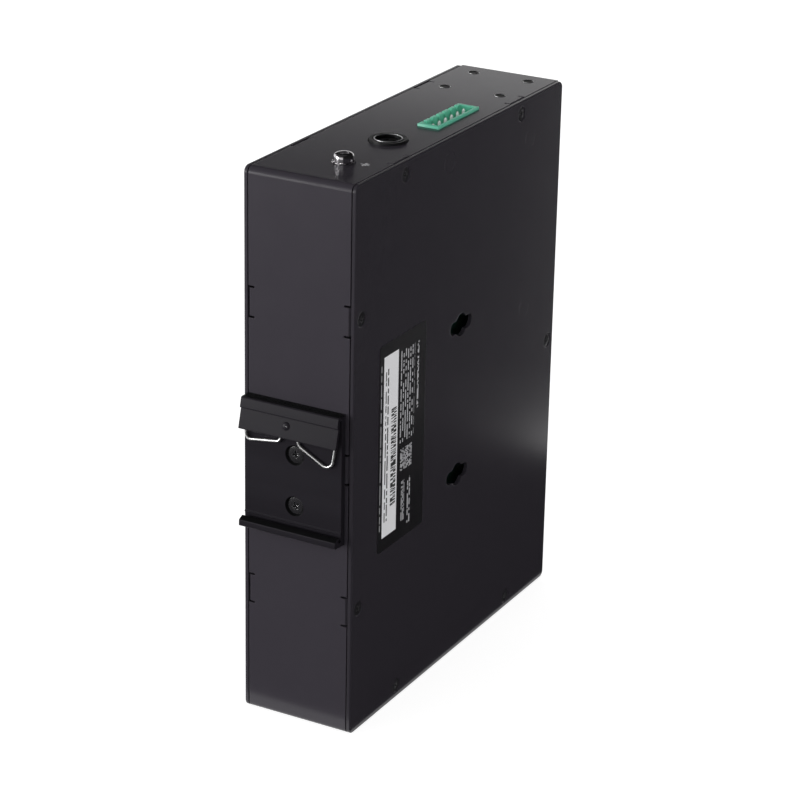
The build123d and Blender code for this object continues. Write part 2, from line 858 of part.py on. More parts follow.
def power_jack_shell():
    """The bright metal sleeve that lines the socket."""
    top = case_height + power_jack_reach - 0.15
    centre = (power_jack_x(), power_jack_y)
    span = (case_height + power_jack_reach - power_socket_depth, top)
    sleeve = rod("z", power_shell_radius, span, centre)
    return sleeve - rod("z", power_shell_radius - power_shell_wall, span, centre)


def power_jack_contacts():
    """The four round contacts inside the core."""
    top = case_height + power_jack_reach
    span = (top - power_socket_depth - power_contact_depth, top - power_core_sink - power_contact_sink)
    return group([rod("z", power_contact_radius, span, (power_jack_x() + dx, power_jack_y + dy), screw_sides)
                  for dx, dy in power_contact_places()])


def header_z():
    """Floor and rim of the terminal header."""
    rim = case_height + header_reach
    return (rim - header_length, rim)


def header_pins_y():
    """Places of the header's pins along Y."""
    return [header_middle + offset for offset in spread(header_ways, header_pitch)]


def header_bend():
    """Height of the pins' tails, under the moulding."""
    return header_z()[0] - header_tail + header_pin / 2


def header_pin_x():
    """Middle of the pins across the case."""
    return board_face - header_height / 2


def terminal_header():
    """The green moulding: a long cup with grooves inside its far wall."""
    ends = header_y()
    z = header_z()
    x = (board_face - header_height, board_face)
    body = block(x, ends, z)
    body = chamfer(body.edges().filter_by(Axis.Z), 0.3)
    hollow_x = (x[0] + header_wall, x[1] - header_wall)
    body -= block(hollow_x, (ends[0] + header_end_wall, ends[1] - header_end_wall), (z[0] + header_floor, z[1] + 1))
    for y in header_pins_y():
        groove = (y - header_groove / 2, y + header_groove / 2)
        body -= block((x[0] + header_wall / 2, hollow_x[0] + 0.1), groove, (z[1] - header_groove_depth, z[1] + 1))
        half = header_pin / 2 + contact_play
        pin_x = header_pin_x()
        body -= block((pin_x - half, pin_x + half), (y - half, y + half), (z[0] - 1, z[1]))
    return body


def terminal_pins():
    """Square pins that bend under the moulding and pass through the board."""
    half = header_pin / 2
    x = header_pin_x()
    z = header_z()
    bend = header_bend()
    tail = board_face + board_thickness + 1
    pins = []
    for y in header_pins_y():
        across = (y - half, y + half)
        pin = block((x - half, x + half), across, (bend - half, z[1] - header_pin_sink))
        pins.append(pin + block((x - half, tail), across, (bend - half, bend + half)))
    return group(pins)


def ground_screw():
    """A pan-head screw over the toothed washer, through the top plate into its nut."""
    seat = case_height + washer_thickness
    centre = (ground_x, ground_y)
    head = rod("z", ground_head_radius, (seat, seat + ground_head_height), centre)
    head = chamfer(head.edges().sort_by(Axis.Z)[-1], ground_head_bevel)
    shank = rod("z", ground_shank_radius, (seat - ground_screw_length, seat), centre, screw_sides)
    return head + shank


def ground_washer():
    """A washer with teeth round its rim."""
    disc = Circle(washer_radius)
    for index in range(washer_teeth):
        notch = Pos(washer_radius, 0) * Rectangle(1.3, 0.7)
        disc -= Rot(0, 0, index * 360 / washer_teeth) * notch
    disc -= RegularPolygon(ground_shank_radius + screw_clearance, screw_sides, major_radius=False)
    return extrude(Pos(ground_x, ground_y, case_height) * disc, washer_thickness)


def ground_nut():
    """The nut pressed under the top plate."""
    top = case_height - sheet
    hexagon = RegularPolygon(nut_width / 2, 6, major_radius=False)
    hexagon -= RegularPolygon(ground_shank_radius + screw_clearance, screw_sides, major_radius=False)
    return extrude(Pos(ground_x, ground_y, top) * hexagon, -nut_height)


def guide_places():
    """Places of the status lamps on the front panel, along X and Z."""
    return [(board_face - height, guide_first + row * guide_row_pitch)
            for height in guide_columns for row in range(guide_rows)]


def status_light_guide():
    """One clear moulding: a rod to each lamp hole from a carrier on the board."""
    start = case_depth - guide_back
    edge = guide_rod_radius + guide_margin
    far_x = board_face - max(guide_columns) - edge
    high = guide_first + (guide_rows - 1) * guide_row_pitch
    shape = block((far_x, board_face), (start, start + guide_carrier), (guide_first - edge, high + edge))
    for x, z in guide_places():
        span = (start + guide_carrier / 2, case_depth + guide_reach)
        shape += rod("y", guide_rod_radius, span, (x, z), screw_sides)
    return shape


def rating_label():
    """The thin sticker on the right cover."""
    shape = block((case_width, case_width + label_thickness), label_y, label_z)
    return chamfer(shape.edges().filter_by(Axis.X), label_corner)


def on_board(y, z, size_y, size_z, height, lift=0.0):
    """A block on the board's component side."""
    return block((board_face - lift - height, board_face - lift), (y - size_y / 2, y + size_y / 2),
                 (z - size_z / 2, z + size_z / 2))


def can(radius, height, y, z, bevel):
    """A round part that stands on the board, bevelled at its end."""
    shape = rod("x", radius, (board_face - height, board_face), (y, z), can_sides)
    return chamfer(shape.faces().sort_by(Axis.X)[0].edges(), bevel)


def switch_chip():
    """The switch's main chip."""
    return on_board(chip_y, chip_z, chip_size, chip_size, chip_height)


def thermal_pad():
    """The soft pad between the chip and its heat sink."""
    return on_board(chip_y, chip_z, chip_size, chip_size, pad_thickness, chip_height)


def heat_sink():
    """An extruded sink with upright fins."""
    lift = chip_height + pad_thickness
    shape = on_board(chip_y, chip_z, sink_size, sink_size, sink_base, lift)
    pitch = (sink_size - sink_fin) / (sink_fins - 1)
    for offset in spread(sink_fins, pitch):
        shape += on_board(chip_y + offset, chip_z, sink_fin, sink_size, sink_height - sink_base, lift + sink_base)
    return shape


def poe_chips():
    """The two chips that feed power to the ports, under the heat sink."""
    z = chip_z - sink_reach - poe_drop
    return group([on_board(chip_y + offset, z, *poe_chip) for offset in spread(2, poe_pitch)])


def lan_transformers():
    """The transformers behind the jacks."""
    y = (transformer_front + transformer_back) / 2
    width = jack_width - 2 * transformer_side
    return group([on_board(y, z, transformer_depth, width, transformer_height) for z in jack_heights()])


def power_inductors():
    """Two shielded chokes of the board's power stage."""
    pieces = []
    for index in range(inductor_count):
        core = on_board(inductor_first + index * coil_pitch, case_height - coil_row, *inductor)
        pieces.append(chamfer(core.edges().filter_by(Axis.X), inductor_bevel))
    return group(pieces)


def line_choke():
    """The ring choke of the power input, after the two others in their row."""
    y = inductor_first + inductor_count * coil_pitch
    place = (y, case_height - coil_row)
    shape = rod("x", choke_radius, (board_face - choke_height, board_face), place, can_sides)
    bore = (board_face - 2 * choke_height, board_face - choke_foot)
    return shape - rod("x", choke_bore, bore, place, can_sides)


def bulk_capacitors():
    """Round capacitors that stand on the board in a column."""
    top = case_height - capacitor_top
    return group([can(capacitor_radius, capacitor_height, capacitor_y, top - index * capacitor_pitch,
                      capacitor_bevel) for index in range(capacitor_count)])


def alarm_relay():
    """The relay of the alarm contact, under the header."""
    shape = on_board(header_middle, header_bend() - relay_drop, *relay)
    return chamfer(shape.faces().sort_by(Axis.X)[0].edges(), relay_bevel)


def input_fuse():
    """The round fuse behind the power jack."""
    return can(fuse_radius, fuse_height, power_jack_y, case_height - fuse_drop, fuse_bevel)


def surge_disc():
    """The surge absorber beside the fuse, on its edge."""
    y = power_jack_y + surge_step
    half = surge_thickness / 2
    across = (board_face - surge_radius, case_height - fuse_drop)
    disc = rod("y", surge_radius, (y - half, y + half), across, can_sides)
    sides = disc.faces().sort_by(Axis.Y)
    return chamfer(sides[0].edges() + sides[-1].edges(), surge_bevel)


def clock_crystal():
    """The crystal in its rounded can, beside the heat sink."""
    shape = on_board(chip_y - sink_reach - side_step, chip_z - crystal_drop, *crystal)
    return chamfer(shape.edges().filter_by(Axis.X), crystal_round)


def flash_chip():
    """The memory chip, beside the heat sink."""
    return on_board(chip_y - sink_reach - side_step, chip_z + flash_rise, *flash)


def power_transistors():
    """Flat power transistors in a row above the heat sink."""
    z = chip_z + sink_reach + transistor_step
    return group([on_board(chip_y + offset, z, *transistor)
                  for offset in spread(transistor_count, transistor_pitch)])


def build_nodes():
    """Every piece by name."""
    nodes = {
        "chassis": chassis(),
        "front_panel": front_panel(),
        "right_cover": right_cover(),
        "left_cover": cover(-1),
        "right_cover_screws": cover_screws(1),
        "left_cover_screws": cover_screws(-1),
        "din_clip": din_clip(),
        "din_clip_spring": clip_spring(),
        "din_clip_screws": clip_screws(),
        "ground_screw": ground_screw(),
        "ground_washer": ground_washer(),
        "ground_nut": ground_nut(),
        "rating_label": rating_label(),
        "main_board": main_board(),
        "board_posts": board_posts(),
        "board_screws": board_screws(),
        "jack_lenses": jack_lenses(),
        "sfp_cage": sfp_cage(),
        "sfp_connector": sfp_connector(),
        "power_jack_body": power_jack_body_piece(),
        "power_jack_shell": power_jack_shell(),
        "power_jack_contacts": power_jack_contacts(),
        "terminal_header": terminal_header(),
        "terminal_pins": terminal_pins(),
        "status_light_guide": status_light_guide(),
        "switch_chip": switch_chip(),
        "thermal_pad": thermal_pad(),
        "heat_sink": heat_sink(),
        "poe_chips": poe_chips(),
        "lan_transformers": lan_transformers(),
        "power_inductors": power_inductors(),
        "bulk_capacitors": bulk_capacitors(),
        "alarm_relay": alarm_relay(),
        "input_fuse": input_fuse(),
        "surge_disc": surge_disc(),
        "line_choke": line_choke(),
        "clock_crystal": clock_crystal(),
        "flash_chip": flash_chip(),
        "power_transistors": power_transistors(),
    }
    for number, z in enumerate(jack_heights(), 1):
        nodes[f"jack_shield_{number}"] = jack_shield_piece(z)
        nodes[f"jack_insert_{number}"] = jack_insert(z)
        nodes[f"jack_contacts_{number}"] = jack_contacts(z)
    return nodes


def main():
    """Write one file for each piece, with the origin under the middle of the whole object."""
    os.makedirs("parts", exist_ok=True)
    for name, shape in build_nodes().items():
        export_step(Pos(left, back, 0) * shape, f"parts/{name}.step")


main()
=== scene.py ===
import json
import math

import bpy
from bpy.props import FloatProperty, FloatVectorProperty, PointerProperty
from mathutils import Matrix, Vector


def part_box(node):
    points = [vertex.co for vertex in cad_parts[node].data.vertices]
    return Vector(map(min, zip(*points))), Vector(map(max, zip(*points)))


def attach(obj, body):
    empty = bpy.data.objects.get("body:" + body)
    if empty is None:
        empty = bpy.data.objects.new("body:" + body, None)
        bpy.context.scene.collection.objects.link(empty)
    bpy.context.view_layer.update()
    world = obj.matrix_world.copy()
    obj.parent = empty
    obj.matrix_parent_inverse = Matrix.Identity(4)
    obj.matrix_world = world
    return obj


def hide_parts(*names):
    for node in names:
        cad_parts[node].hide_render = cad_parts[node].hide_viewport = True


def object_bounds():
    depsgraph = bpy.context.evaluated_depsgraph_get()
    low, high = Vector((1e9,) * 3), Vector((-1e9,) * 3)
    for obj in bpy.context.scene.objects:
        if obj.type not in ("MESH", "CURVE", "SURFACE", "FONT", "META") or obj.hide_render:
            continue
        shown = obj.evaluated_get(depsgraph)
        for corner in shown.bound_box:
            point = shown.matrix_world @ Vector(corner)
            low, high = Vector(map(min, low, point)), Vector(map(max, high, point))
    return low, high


bl_info = {
    "name": "Rail switch finishes",
    "version": (1, 0, 0),
    "blender": (4, 5, 0),
    "location": "View3D > Sidebar > Rail switch",
    "description": "Finishes, small hardware and a studio for a slim Ethernet switch that clips on a rail",
    "category": "Object",
}

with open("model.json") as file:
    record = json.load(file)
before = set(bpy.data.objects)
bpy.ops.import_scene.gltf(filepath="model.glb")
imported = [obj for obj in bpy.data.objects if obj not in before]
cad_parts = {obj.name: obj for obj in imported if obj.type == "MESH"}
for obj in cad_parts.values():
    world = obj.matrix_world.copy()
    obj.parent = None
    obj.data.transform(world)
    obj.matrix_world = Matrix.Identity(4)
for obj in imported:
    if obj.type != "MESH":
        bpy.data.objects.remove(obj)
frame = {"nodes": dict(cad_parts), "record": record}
CAD_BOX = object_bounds()

# Sizes are in millimetres, and places are measured from the case's left, back, lower corner:
# X runs across the back, Y from the back to the ports, Z up.
MM = 0.001
CORNER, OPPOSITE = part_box("left_cover")[0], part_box("right_cover")[1]
CASE = (OPPOSITE - CORNER) / MM
NEAR = 0.01                  # how close to a height a face or an edge lies to be picked there
CLEAR = 1.0                  # how far a cutting tool reaches past a piece

# Rings that pressed studs leave in the right cover: their middles along Y and Z, and their size
RING_MARKS = ((54.3, 162.7), (106.9, 156.9), (106.6, 101.5), (90.8, 13.6))
RING_RADIUS = 3.2
RING_WIDTH = 0.3
RING_DEPTH = 0.013

# What is printed on the sticker: its spans along Y and Z, its colour, and for rows of fine print their
# pitch, the share of it that is inked, the runs in a metre and how much of a row stays blank
WHITE = (0.97, 0.97, 0.99)
INK = (0.05, 0.05, 0.05)
PALE = (0.55, 0.55, 0.57)
LABEL_PRINTS = (
    ((17.1, 25.6), (57.2, 114.2), WHITE, None),
    ((21.8, 24.9), (66.0, 97.0), INK, (20.0, 1.0, 2300.0, 0.48)),
    ((18.2, 20.6), (62.0, 110.0), INK, (1.3, 0.5, 900.0, 0.42)),
    ((15.2, 15.9), (60.0, 112.0), PALE, (0.9, 0.6, 700.0, 0.4)),
    ((27.0, 35.4), (84.0, 113.0), PALE, (1.35, 0.4, 800.0, 0.42)),
    ((27.6, 34.6), (74.9, 81.9), PALE, (0.7, 0.75, 1400.0, 0.47)),
    ((37.0, 37.9), (92.0, 113.0), PALE, (20.0, 1.0, 900.0, 0.47)),
    ((28.2, 30.4), (58.6, 71.4), PALE, (0.8, 0.6, 1100.0, 0.45)),
    ((32.2, 34.4), (56.6, 71.4), PALE, (1.1, 0.55, 600.0, 0.45)),
)
PRINT_BLUR = 0.04            # how far the edge of a print is soft
ROW_SHIFT = 3.7              # from one row's pattern of runs to the next, so that no two are alike

# Screws: their shanks' radius and length, the land round a countersunk head, the cross recess's reach and
# depth as shares of the head's radius, and the bright metal spot in a clip screw's recess, a painted glint
COVER_SHANK, COVER_LENGTH = 1.15, 3.2
CLIP_SHANK, CLIP_LENGTH = 1.35, 5.0
GROUND_SHANK, GROUND_LENGTH = 1.48, 6.5
HEAD_LAND = 0.12
RECESS_REACH, RECESS_DEPTH = 0.62, 0.5
SCREW_GLINT_RADIUS, SCREW_GLINT_RISE, SCREW_GLINT_PLACE = 0.26, 0.22, Vector((0.55, 0.1, -0.1))
CLIP_SCREW_EDGE = 2.7        # from either end of the clip screws' span to the next screw's axis

# Rail clip: its plate, the grooves in its roof, the seats of its screws, and its punch mark with the bright
# metal dot beside the mark's middle, a painted glint
PLATE = 2.0                  # from the case's back to the plate's face
GROOVES = (1.2, 2.1)
GROOVE_WIDTH, GROOVE_DEPTH = 0.4, 0.45
SEAT_RADIUS, SEAT_RIM, SEAT_DEPTH, SEAT_OVER = 2.55, 3.15, 0.75, 0.06
MARK_RADIUS, MARK_RISE, MARK_LEAN = 1.25, 0.5, -14.5
MARK_ASIDE, MARK_BACK, MARK_DROP = 0.7, 4.6, 5.7
MARK_GLINT_RADIUS, MARK_GLINT_RISE, MARK_GLINT_PLACE = 0.17, 0.12, Vector((0.45, -0.44, 0.05))

# The wire's line: shares of the clip's width, and heights above the upper flange's lip
SPRING_LINE = (
    (0.023, 3.8), (0.026, -3.95), (0.374, -2.4), (0.442, 3.5), (0.503, 3.5), (0.58, -2.5), (0.91, -8.3),
    (0.955, 1.6),
)
WIDE_BEND = 1.6              # radius of the last bend as a share of the others
FLANGE_DROP = 9.4            # from the clip's top to the flange's lip

# Terminal header and its pins
PINS = 6
PIN_HALF, PIN_TAPER, PIN_TIP = 0.36, 0.5, 0.45
PIN_FROM_EDGE = 0.5
PIN_HOLE_HALF = 0.53
HEADER_FLOOR = 1.2
SLOT_HALF, SLOT_DEPTH = 0.6, 3.2

# Power jack: how far its rim lies below the body's, its rounding, and the bright lip's gap, wire and rise
JACK_DROP, JACK_ROUNDING = 0.03, 0.15
LIP_GAP, LIP_WIRE, LIP_RISE = 0.12, 0.17, 0.02

# Holes for rack ears: how deep their tapped walls go, how far they stand out, their turns, their bore and
# thread from the outer radius inwards, and the bare rims' gap, wire and rise
EAR_DEPTH, EAR_BURR, EAR_TURNS = 1.2, 0.07, 3
EAR_WALL, EAR_ROUNDING = 0.3, 0.05
RIM_GAP, RIM_WIRE, RIM_RISE = 0.02, 0.11, 0.01
THREAD_ROOT, THREAD_CREST = 0.1, 0.32

# Earth symbol: where it starts from the ground screw's corner, its film, its stem, and its three bars'
# half widths, thickness and pitch
SYMBOL_PLACE = Vector((1.7, -1.6, 0))
FILM = 0.02
STEM_LENGTH, STEM_HALF = 1.1, 0.12
EARTH_BARS, EARTH_BAR, EARTH_PITCH = (1.45, 0.95, 0.45), 0.3, 0.62

# Studio, in metres: floor, light, dark cards (place, width and depth, turn in degrees) and camera
FLOOR_SIZE = 6
KEY_PLACE, KEY_AIM, KEY_SIZE = (-1.1, -1.05, 0.18), (0, 0, 0.07), 0.6
CARDS = {
    "side_card": ((0.075, -0.005, 0.25), (0.5, 0.49), (0, 90, 0)),
    "low_card": ((0.0475, -0.045, 0.001), (0.058, 0.41), (0, 0, 0)),
    "front_card": ((-0.2, -0.409, 0.001), (0.6, 0.682), (0, 0, 0)),
    "back_card": ((-0.2, 0.25, 0.544), (1.0, 0.6), (90, 0, 0)),
}
CAMERA_PLACE, CAMERA_TURN = (0.378519, -0.692852, 0.401343), (67.97072, -1.03672, 29.12379)


def spot(x, y, z):
    """A place in the case's millimetres as a point in the shared frame."""
    return CORNER + Vector((x, y, z)) * MM


def node_span(node):
    """The lowest and highest corner of a CAD node in the case's millimetres."""
    low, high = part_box(node)
    return (low - CORNER) / MM, (high - CORNER) / MM


def node_middle(node):
    """The middle of a CAD node in the case's millimetres."""
    low, high = node_span(node)
    return (low + high) / 2


def around(middle, half):
    """A span about a middle."""
    return middle - half, middle + half


def turned(degrees, axis):
    """A turn about an axis."""
    return Matrix.Rotation(math.radians(degrees), 4, axis)


# Hand modelling

def deselect():
    """Leaves nothing selected."""
    bpy.ops.object.select_all(action="DESELECT")


def mode(name):
    """Goes to edit mode or back to object mode."""
    bpy.ops.object.mode_set(mode=name)


def alone(piece):
    """Leaves only this piece selected, and makes it active."""
    deselect()
    piece.select_set(True)
    bpy.context.view_layer.objects.active = piece


def named(name):
    """The piece that an operator has just added, under its name."""
    piece = bpy.context.active_object
    piece.name = name
    piece.data.name = name
    return piece


def settle(piece):
    """Moves a piece's place, turn and scale into its mesh."""
    alone(piece)
    bpy.ops.object.transform_apply(location=True, rotation=True, scale=True)
    return piece


def bar(name, x, y, z):
    """A rectangular blank between two places along each axis."""
    spans = (x, y, z)
    deselect()
    bpy.ops.mesh.primitive_cube_add(size=1, location=[sum(span) / 2 * MM for span in spans])
    piece = named(name)
    piece.scale = [(high - low) * MM for low, high in spans]
    return settle(piece)


def round_bar(name, radius, z, sides=48, top_radius=None):
    """A round blank about the Z axis between two heights."""
    deselect()
    bpy.ops.mesh.primitive_cone_add(
        vertices=sides, radius1=radius * MM, radius2=(top_radius or radius) * MM,
        depth=(z[1] - z[0]) * MM, location=(0, 0, sum(z) / 2 * MM))
    return settle(named(name))


def put(piece, place=(0, 0, 0), turn=Matrix.Identity(4)):
    """Moves a piece modelled about the origin to its place in the case, after turning it."""
    piece.matrix_world = Matrix.Translation(spot(*place)) @ turn
    return settle(piece)


def flat_ball(name, radius, rise, place, turn=Matrix.Identity(4)):
    """A ball flattened along Y."""
    deselect()
    bpy.ops.mesh.primitive_uv_sphere_add(segments=32, ring_count=16, radius=radius * MM, location=(0, 0, 0))
    ball = named(name)
    ball.scale.y = rise / radius
    return smoothed(put(settle(ball), place, turn), 60)


def wire_ring(name, radius, wire, place):
    """A thin round ring that lies flat."""
    deselect()
    bpy.ops.mesh.primitive_torus_add(location=(0, 0, 0), major_radius=radius * MM, minor_radius=wire * MM,
                                     major_segments=72, minor_segments=12)
    return smoothed(put(named(name), place), 60)


def copied(piece, name):
    """A copy of a piece with its own mesh."""
    alone(piece)
    bpy.ops.object.duplicate(linked=False)
    return named(name)


def joined(name, pieces):
    """Several pieces as one."""
    alone(pieces[0])
    for piece in pieces:
        piece.select_set(True)
    bpy.ops.object.join()
    return named(name)


def finished_with(piece, kind, **values):
    """Adds a modifier, sets it and applies it."""
    alone(piece)
    modifier = piece.modifiers.new(kind.title(), kind)
    for key, value in values.items():
        setattr(modifier, key, value)
    bpy.ops.object.modifier_apply(modifier=modifier.name)
    return piece


def cut_by(piece, tool, operation="DIFFERENCE"):
    """Takes the tool's shape out of a piece, or adds it, and takes the tool away."""
    finished_with(piece, "BOOLEAN", object=tool, operation=operation, solver="EXACT")
    bpy.data.objects.remove(tool)
    return piece


def edit_only(piece, part, test):
    """Opens a piece in edit mode with only those faces or edges picked whose middle and points pass."""
    alone(piece)
    mode("EDIT")
    bpy.ops.mesh.select_mode(type=part)
    bpy.ops.mesh.select_all(action="DESELECT")
    mode("OBJECT")
    mesh = piece.data
    for item in (mesh.polygons if part == "FACE" else mesh.edges):
        points = [mesh.vertices[index].co / MM for index in item.vertices]
        item.select = test(sum(points, Vector()) / len(points), points)
    mode("EDIT")


def extrude_to(along, scale=1.0, centre=(0, 0, 0)):
    """Pulls the picked faces along and then scales them about a centre."""
    bpy.ops.mesh.extrude_region_move(TRANSFORM_OT_translate={"value": Vector(along) * MM})
    if scale != 1.0:
        bpy.ops.transform.resize(value=(scale, scale, 1), center_override=Vector(centre) * MM)


def bevel_rim(piece, top, radius, segments, **shape):
    """Rounds the edges of a blank's top, which lies at a height."""
    edit_only(piece, "EDGE", lambda _, points: min(point.z for point in points) > top - NEAR)
    bpy.ops.mesh.bevel(offset=radius * MM, segments=segments, **shape)
    mode("OBJECT")


def smoothed(piece, degrees=35):
    """Smooths all but the sharp edges."""
    alone(piece)
    bpy.ops.object.shade_smooth_by_angle(angle=math.radians(degrees))
    return piece


def shown(piece, slot, *nodes):
    """Gives a finished piece its finish, lets it ride and hides the nodes it stands for."""
    piece.data.materials.clear()
    piece.data.materials.append(finish(slot))
    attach(piece, "root")
    if nodes:
        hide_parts(*nodes)


# Shader nodes

def feed(tree, socket, value):
    """Links an output to a socket, or sets a plain value there."""
    if isinstance(value, bpy.types.NodeSocket):
        tree.links.new(value, socket)
    else:
        socket.default_value = value


def add(tree, kind, inputs=None, **settings):
    """A shader node with its settings, and a value or a link for each input named."""
    node = tree.nodes.new("ShaderNode" + kind)
    for name, value in settings.items():
        setattr(node, name, value)
    for name, value in (inputs or {}).items():
        feed(tree, node.inputs[name], value)
    return node


def sums(tree, operation, *values):
    """The result of a Math node."""
    return add(tree, "Math", dict(enumerate(values)), operation=operation).outputs[0]


def vectors(tree, operation, *values):
    """The result of a Vector Math node."""
    outlet = "Value" if operation in ("DOT_PRODUCT", "LENGTH") else "Vector"
    return add(tree, "VectorMath", dict(enumerate(values)), operation=operation).outputs[outlet]


def object_place(tree):
    """Where a point lies on the object."""
    return add(tree, "TexCoord").outputs["Object"]


def spread_to(tree, value, low, high, start=0.0, end=1.0, curve="LINEAR"):
    """A value from one range carried to another."""
    inputs = {"Value": value, "From Min": start, "From Max": end, "To Min": low, "To Max": high}
    return add(tree, "MapRange", inputs, interpolation_type=curve).outputs["Result"]


def noise(tree, place, scale, detail, roughness=0.5):
    """Noise from 0 to 1."""
    inputs = {"Vector": place, "Scale": scale, "Detail": detail, "Roughness": roughness}
    return add(tree, "TexNoise", inputs).outputs["Fac"]


def relief(tree, height, depth, normal, strength=1.0, **settings):
    """A normal with a height raised on it."""
    inputs = {"Strength": strength, "Distance": depth, "Height": height, "Normal": normal}
    return add(tree, "Bump", inputs, **settings).outputs["Normal"]


def blend(tree, share, one, other):
    """Two colours mixed."""
    return add(tree, "Mix", {0: share, 6: one, 7: other}, data_type="RGBA").outputs[2]


def new_group(name, given, results):
    """An empty node group, the sockets of what it is given and those of its results."""
    group = bpy.data.node_groups.new(name, "ShaderNodeTree")
    for label, value in given.items():
        kind = "NodeSocketFloat" if isinstance(value, float) else "NodeSocketVector"
        group.interface.new_socket(label, in_out="INPUT", socket_type=kind).default_value = value
    for label, kind in results.items():
        group.interface.new_socket(label, in_out="OUTPUT", socket_type="NodeSocket" + kind)
    return group, group.nodes.new("NodeGroupInput").outputs, group.nodes.new("NodeGroupOutput").inputs


def use_group(tree, name, **inputs):
    """The results of a node group placed in a tree with its own values; each group is built once."""
    group = bpy.data.node_groups.get(name) or NODE_GROUPS[name](name)
    return add(tree, "Group", inputs, node_tree=group).outputs


def worked_surface(name):
    """Fine grain, slow mottling and softened, lightly worn edges."""
    group, given, result = new_group(
        name, {"Grain": 2500.0, "Depth": 0.00001, "Stretch": (1, 1, 1), "Edge": 0.00015},
        {"Normal": "Vector", "Mottle": "Float", "Edge": "Float"})
    mottle_share, sharp, flat, patchy = 0.03, 0.86, 0.995, (0.3, 1.0, 0.35, 0.65)
    place = vectors(group, "MULTIPLY", object_place(group), given["Stretch"])
    fine = noise(group, place, given["Grain"], 3.0, 0.6)
    slow = noise(group, place, sums(group, "MULTIPLY", given["Grain"], mottle_share), 4.0, 0.55)
    soft = add(group, "Bevel", {"Radius": given["Edge"]}, samples=6).outputs["Normal"]
    rounding = vectors(group, "DOT_PRODUCT", soft, add(group, "NewGeometry").outputs["Normal"])
    edge = spread_to(group, rounding, 1.0, 0.0, sharp, flat)
    worn = sums(group, "MULTIPLY", edge, spread_to(group, slow, *patchy))
    group.links.new(relief(group, fine, given["Depth"], soft), result["Normal"])
    group.links.new(slow, result["Mottle"])
    group.links.new(worn, result["Edge"])
    return group


def printed_box(name):
    """Where a rectangle is printed on a face that looks along X, as a mask over Y and Z."""
    group, given, result = new_group(name, {"Middle": (0, 0, 0), "Half": (0, 0, 0)}, {"Mask": "Float"})
    away = vectors(group, "ABSOLUTE", vectors(group, "SUBTRACT", object_place(group), given["Middle"]))
    inside = add(group, "SeparateXYZ", {0: vectors(group, "SUBTRACT", given["Half"], away)}).outputs
    least = sums(group, "MINIMUM", inside["Y"], inside["Z"])
    mask = spread_to(group, least, 0.0, 1.0, -PRINT_BLUR * MM, PRINT_BLUR * MM)
    group.links.new(mask, result["Mask"])
    return group


def printed_rows(name):
    """Rows of short runs inside a printed rectangle, as fine print looks from afar."""
    group, given, result = new_group(
        name, {"Middle": (0, 0, 0), "Half": (0, 0, 0), "Pitch": 0.001, "Fill": 0.5, "Runs": 900.0,
               "Cover": 0.45}, {"Mask": "Float"})
    box = use_group(group, "Printed box", Middle=given["Middle"], Half=given["Half"])["Mask"]
    away = vectors(group, "SUBTRACT", object_place(group), given["Middle"])
    parts = add(group, "SeparateXYZ", {0: away}).outputs
    row = sums(group, "DIVIDE", parts["Y"], given["Pitch"])
    inked = sums(group, "LESS_THAN", sums(group, "FRACT", row), given["Fill"])
    along = sums(group, "MULTIPLY", parts["Z"], given["Runs"])
    across = sums(group, "MULTIPLY", sums(group, "FLOOR", row), ROW_SHIFT)
    runs = noise(group, add(group, "CombineXYZ", {"X": across, "Y": along}).outputs[0], 1.0, 0.0)
    printed = sums(group, "MULTIPLY", inked, sums(group, "GREATER_THAN", runs, given["Cover"]))
    group.links.new(sums(group, "MULTIPLY", printed, box), result["Mask"])
    return group


def ring_mark(name):
    """A shallow ring pressed into a face that looks along X."""
    group, given, result = new_group(name, {"Centre": (0, 0, 0), "Radius": 0.003, "Width": 0.0003},
                                     {"Mask": "Float"})
    away = vectors(group, "SUBTRACT", object_place(group), given["Centre"])
    far = vectors(group, "LENGTH", vectors(group, "MULTIPLY", away, (0, 1, 1)))
    off = sums(group, "ABSOLUTE", sums(group, "SUBTRACT", far, given["Radius"]))
    mask = spread_to(group, off, 0.0, 1.0, given["Width"], 0.0, "SMOOTHSTEP")
    group.links.new(mask, result["Mask"])
    return group


NODE_GROUPS = {
    "Worked surface": worked_surface,
    "Printed box": printed_box,
    "Printed rows": printed_rows,
    "Ring mark": ring_mark,
}


def new_material(name, **values):
    """A material with a Principled shader and its plain values."""
    material = bpy.data.materials.new(name)
    material.use_nodes = True
    tree = material.node_tree
    tree.nodes.clear()
    shader = add(tree, "BsdfPrincipled", {key.replace("_", " "): value for key, value in values.items()})
    add(tree, "OutputMaterial", {"Surface": shader.outputs[0]})
    return material, tree, shader.inputs


def dress(tree, shader, colour, other, roughness, worn=None, wear=0.5, grain=3000.0, depth=0.003,
          edge=0.12, stretch=(1, 1, 1)):
    """Colour, roughness and relief of a finish; grain counts in a metre, depth and edge in millimetres."""
    work = use_group(tree, "Worked surface", Grain=grain, Depth=depth * MM, Stretch=stretch, Edge=edge * MM)
    middle_tones = (0.3, 0.7)
    base = blend(tree, spread_to(tree, work["Mottle"], 0.0, 1.0, *middle_tones), (*colour, 1), (*other, 1))
    if worn:
        base = blend(tree, sums(tree, "MULTIPLY", work["Edge"], wear), base, (*worn, 1))
    tree.links.new(base, shader["Base Color"])
    tree.links.new(spread_to(tree, work["Mottle"], *roughness, *middle_tones), shader["Roughness"])
    tree.links.new(work["Normal"], shader["Normal"])
    return work


# Finishes

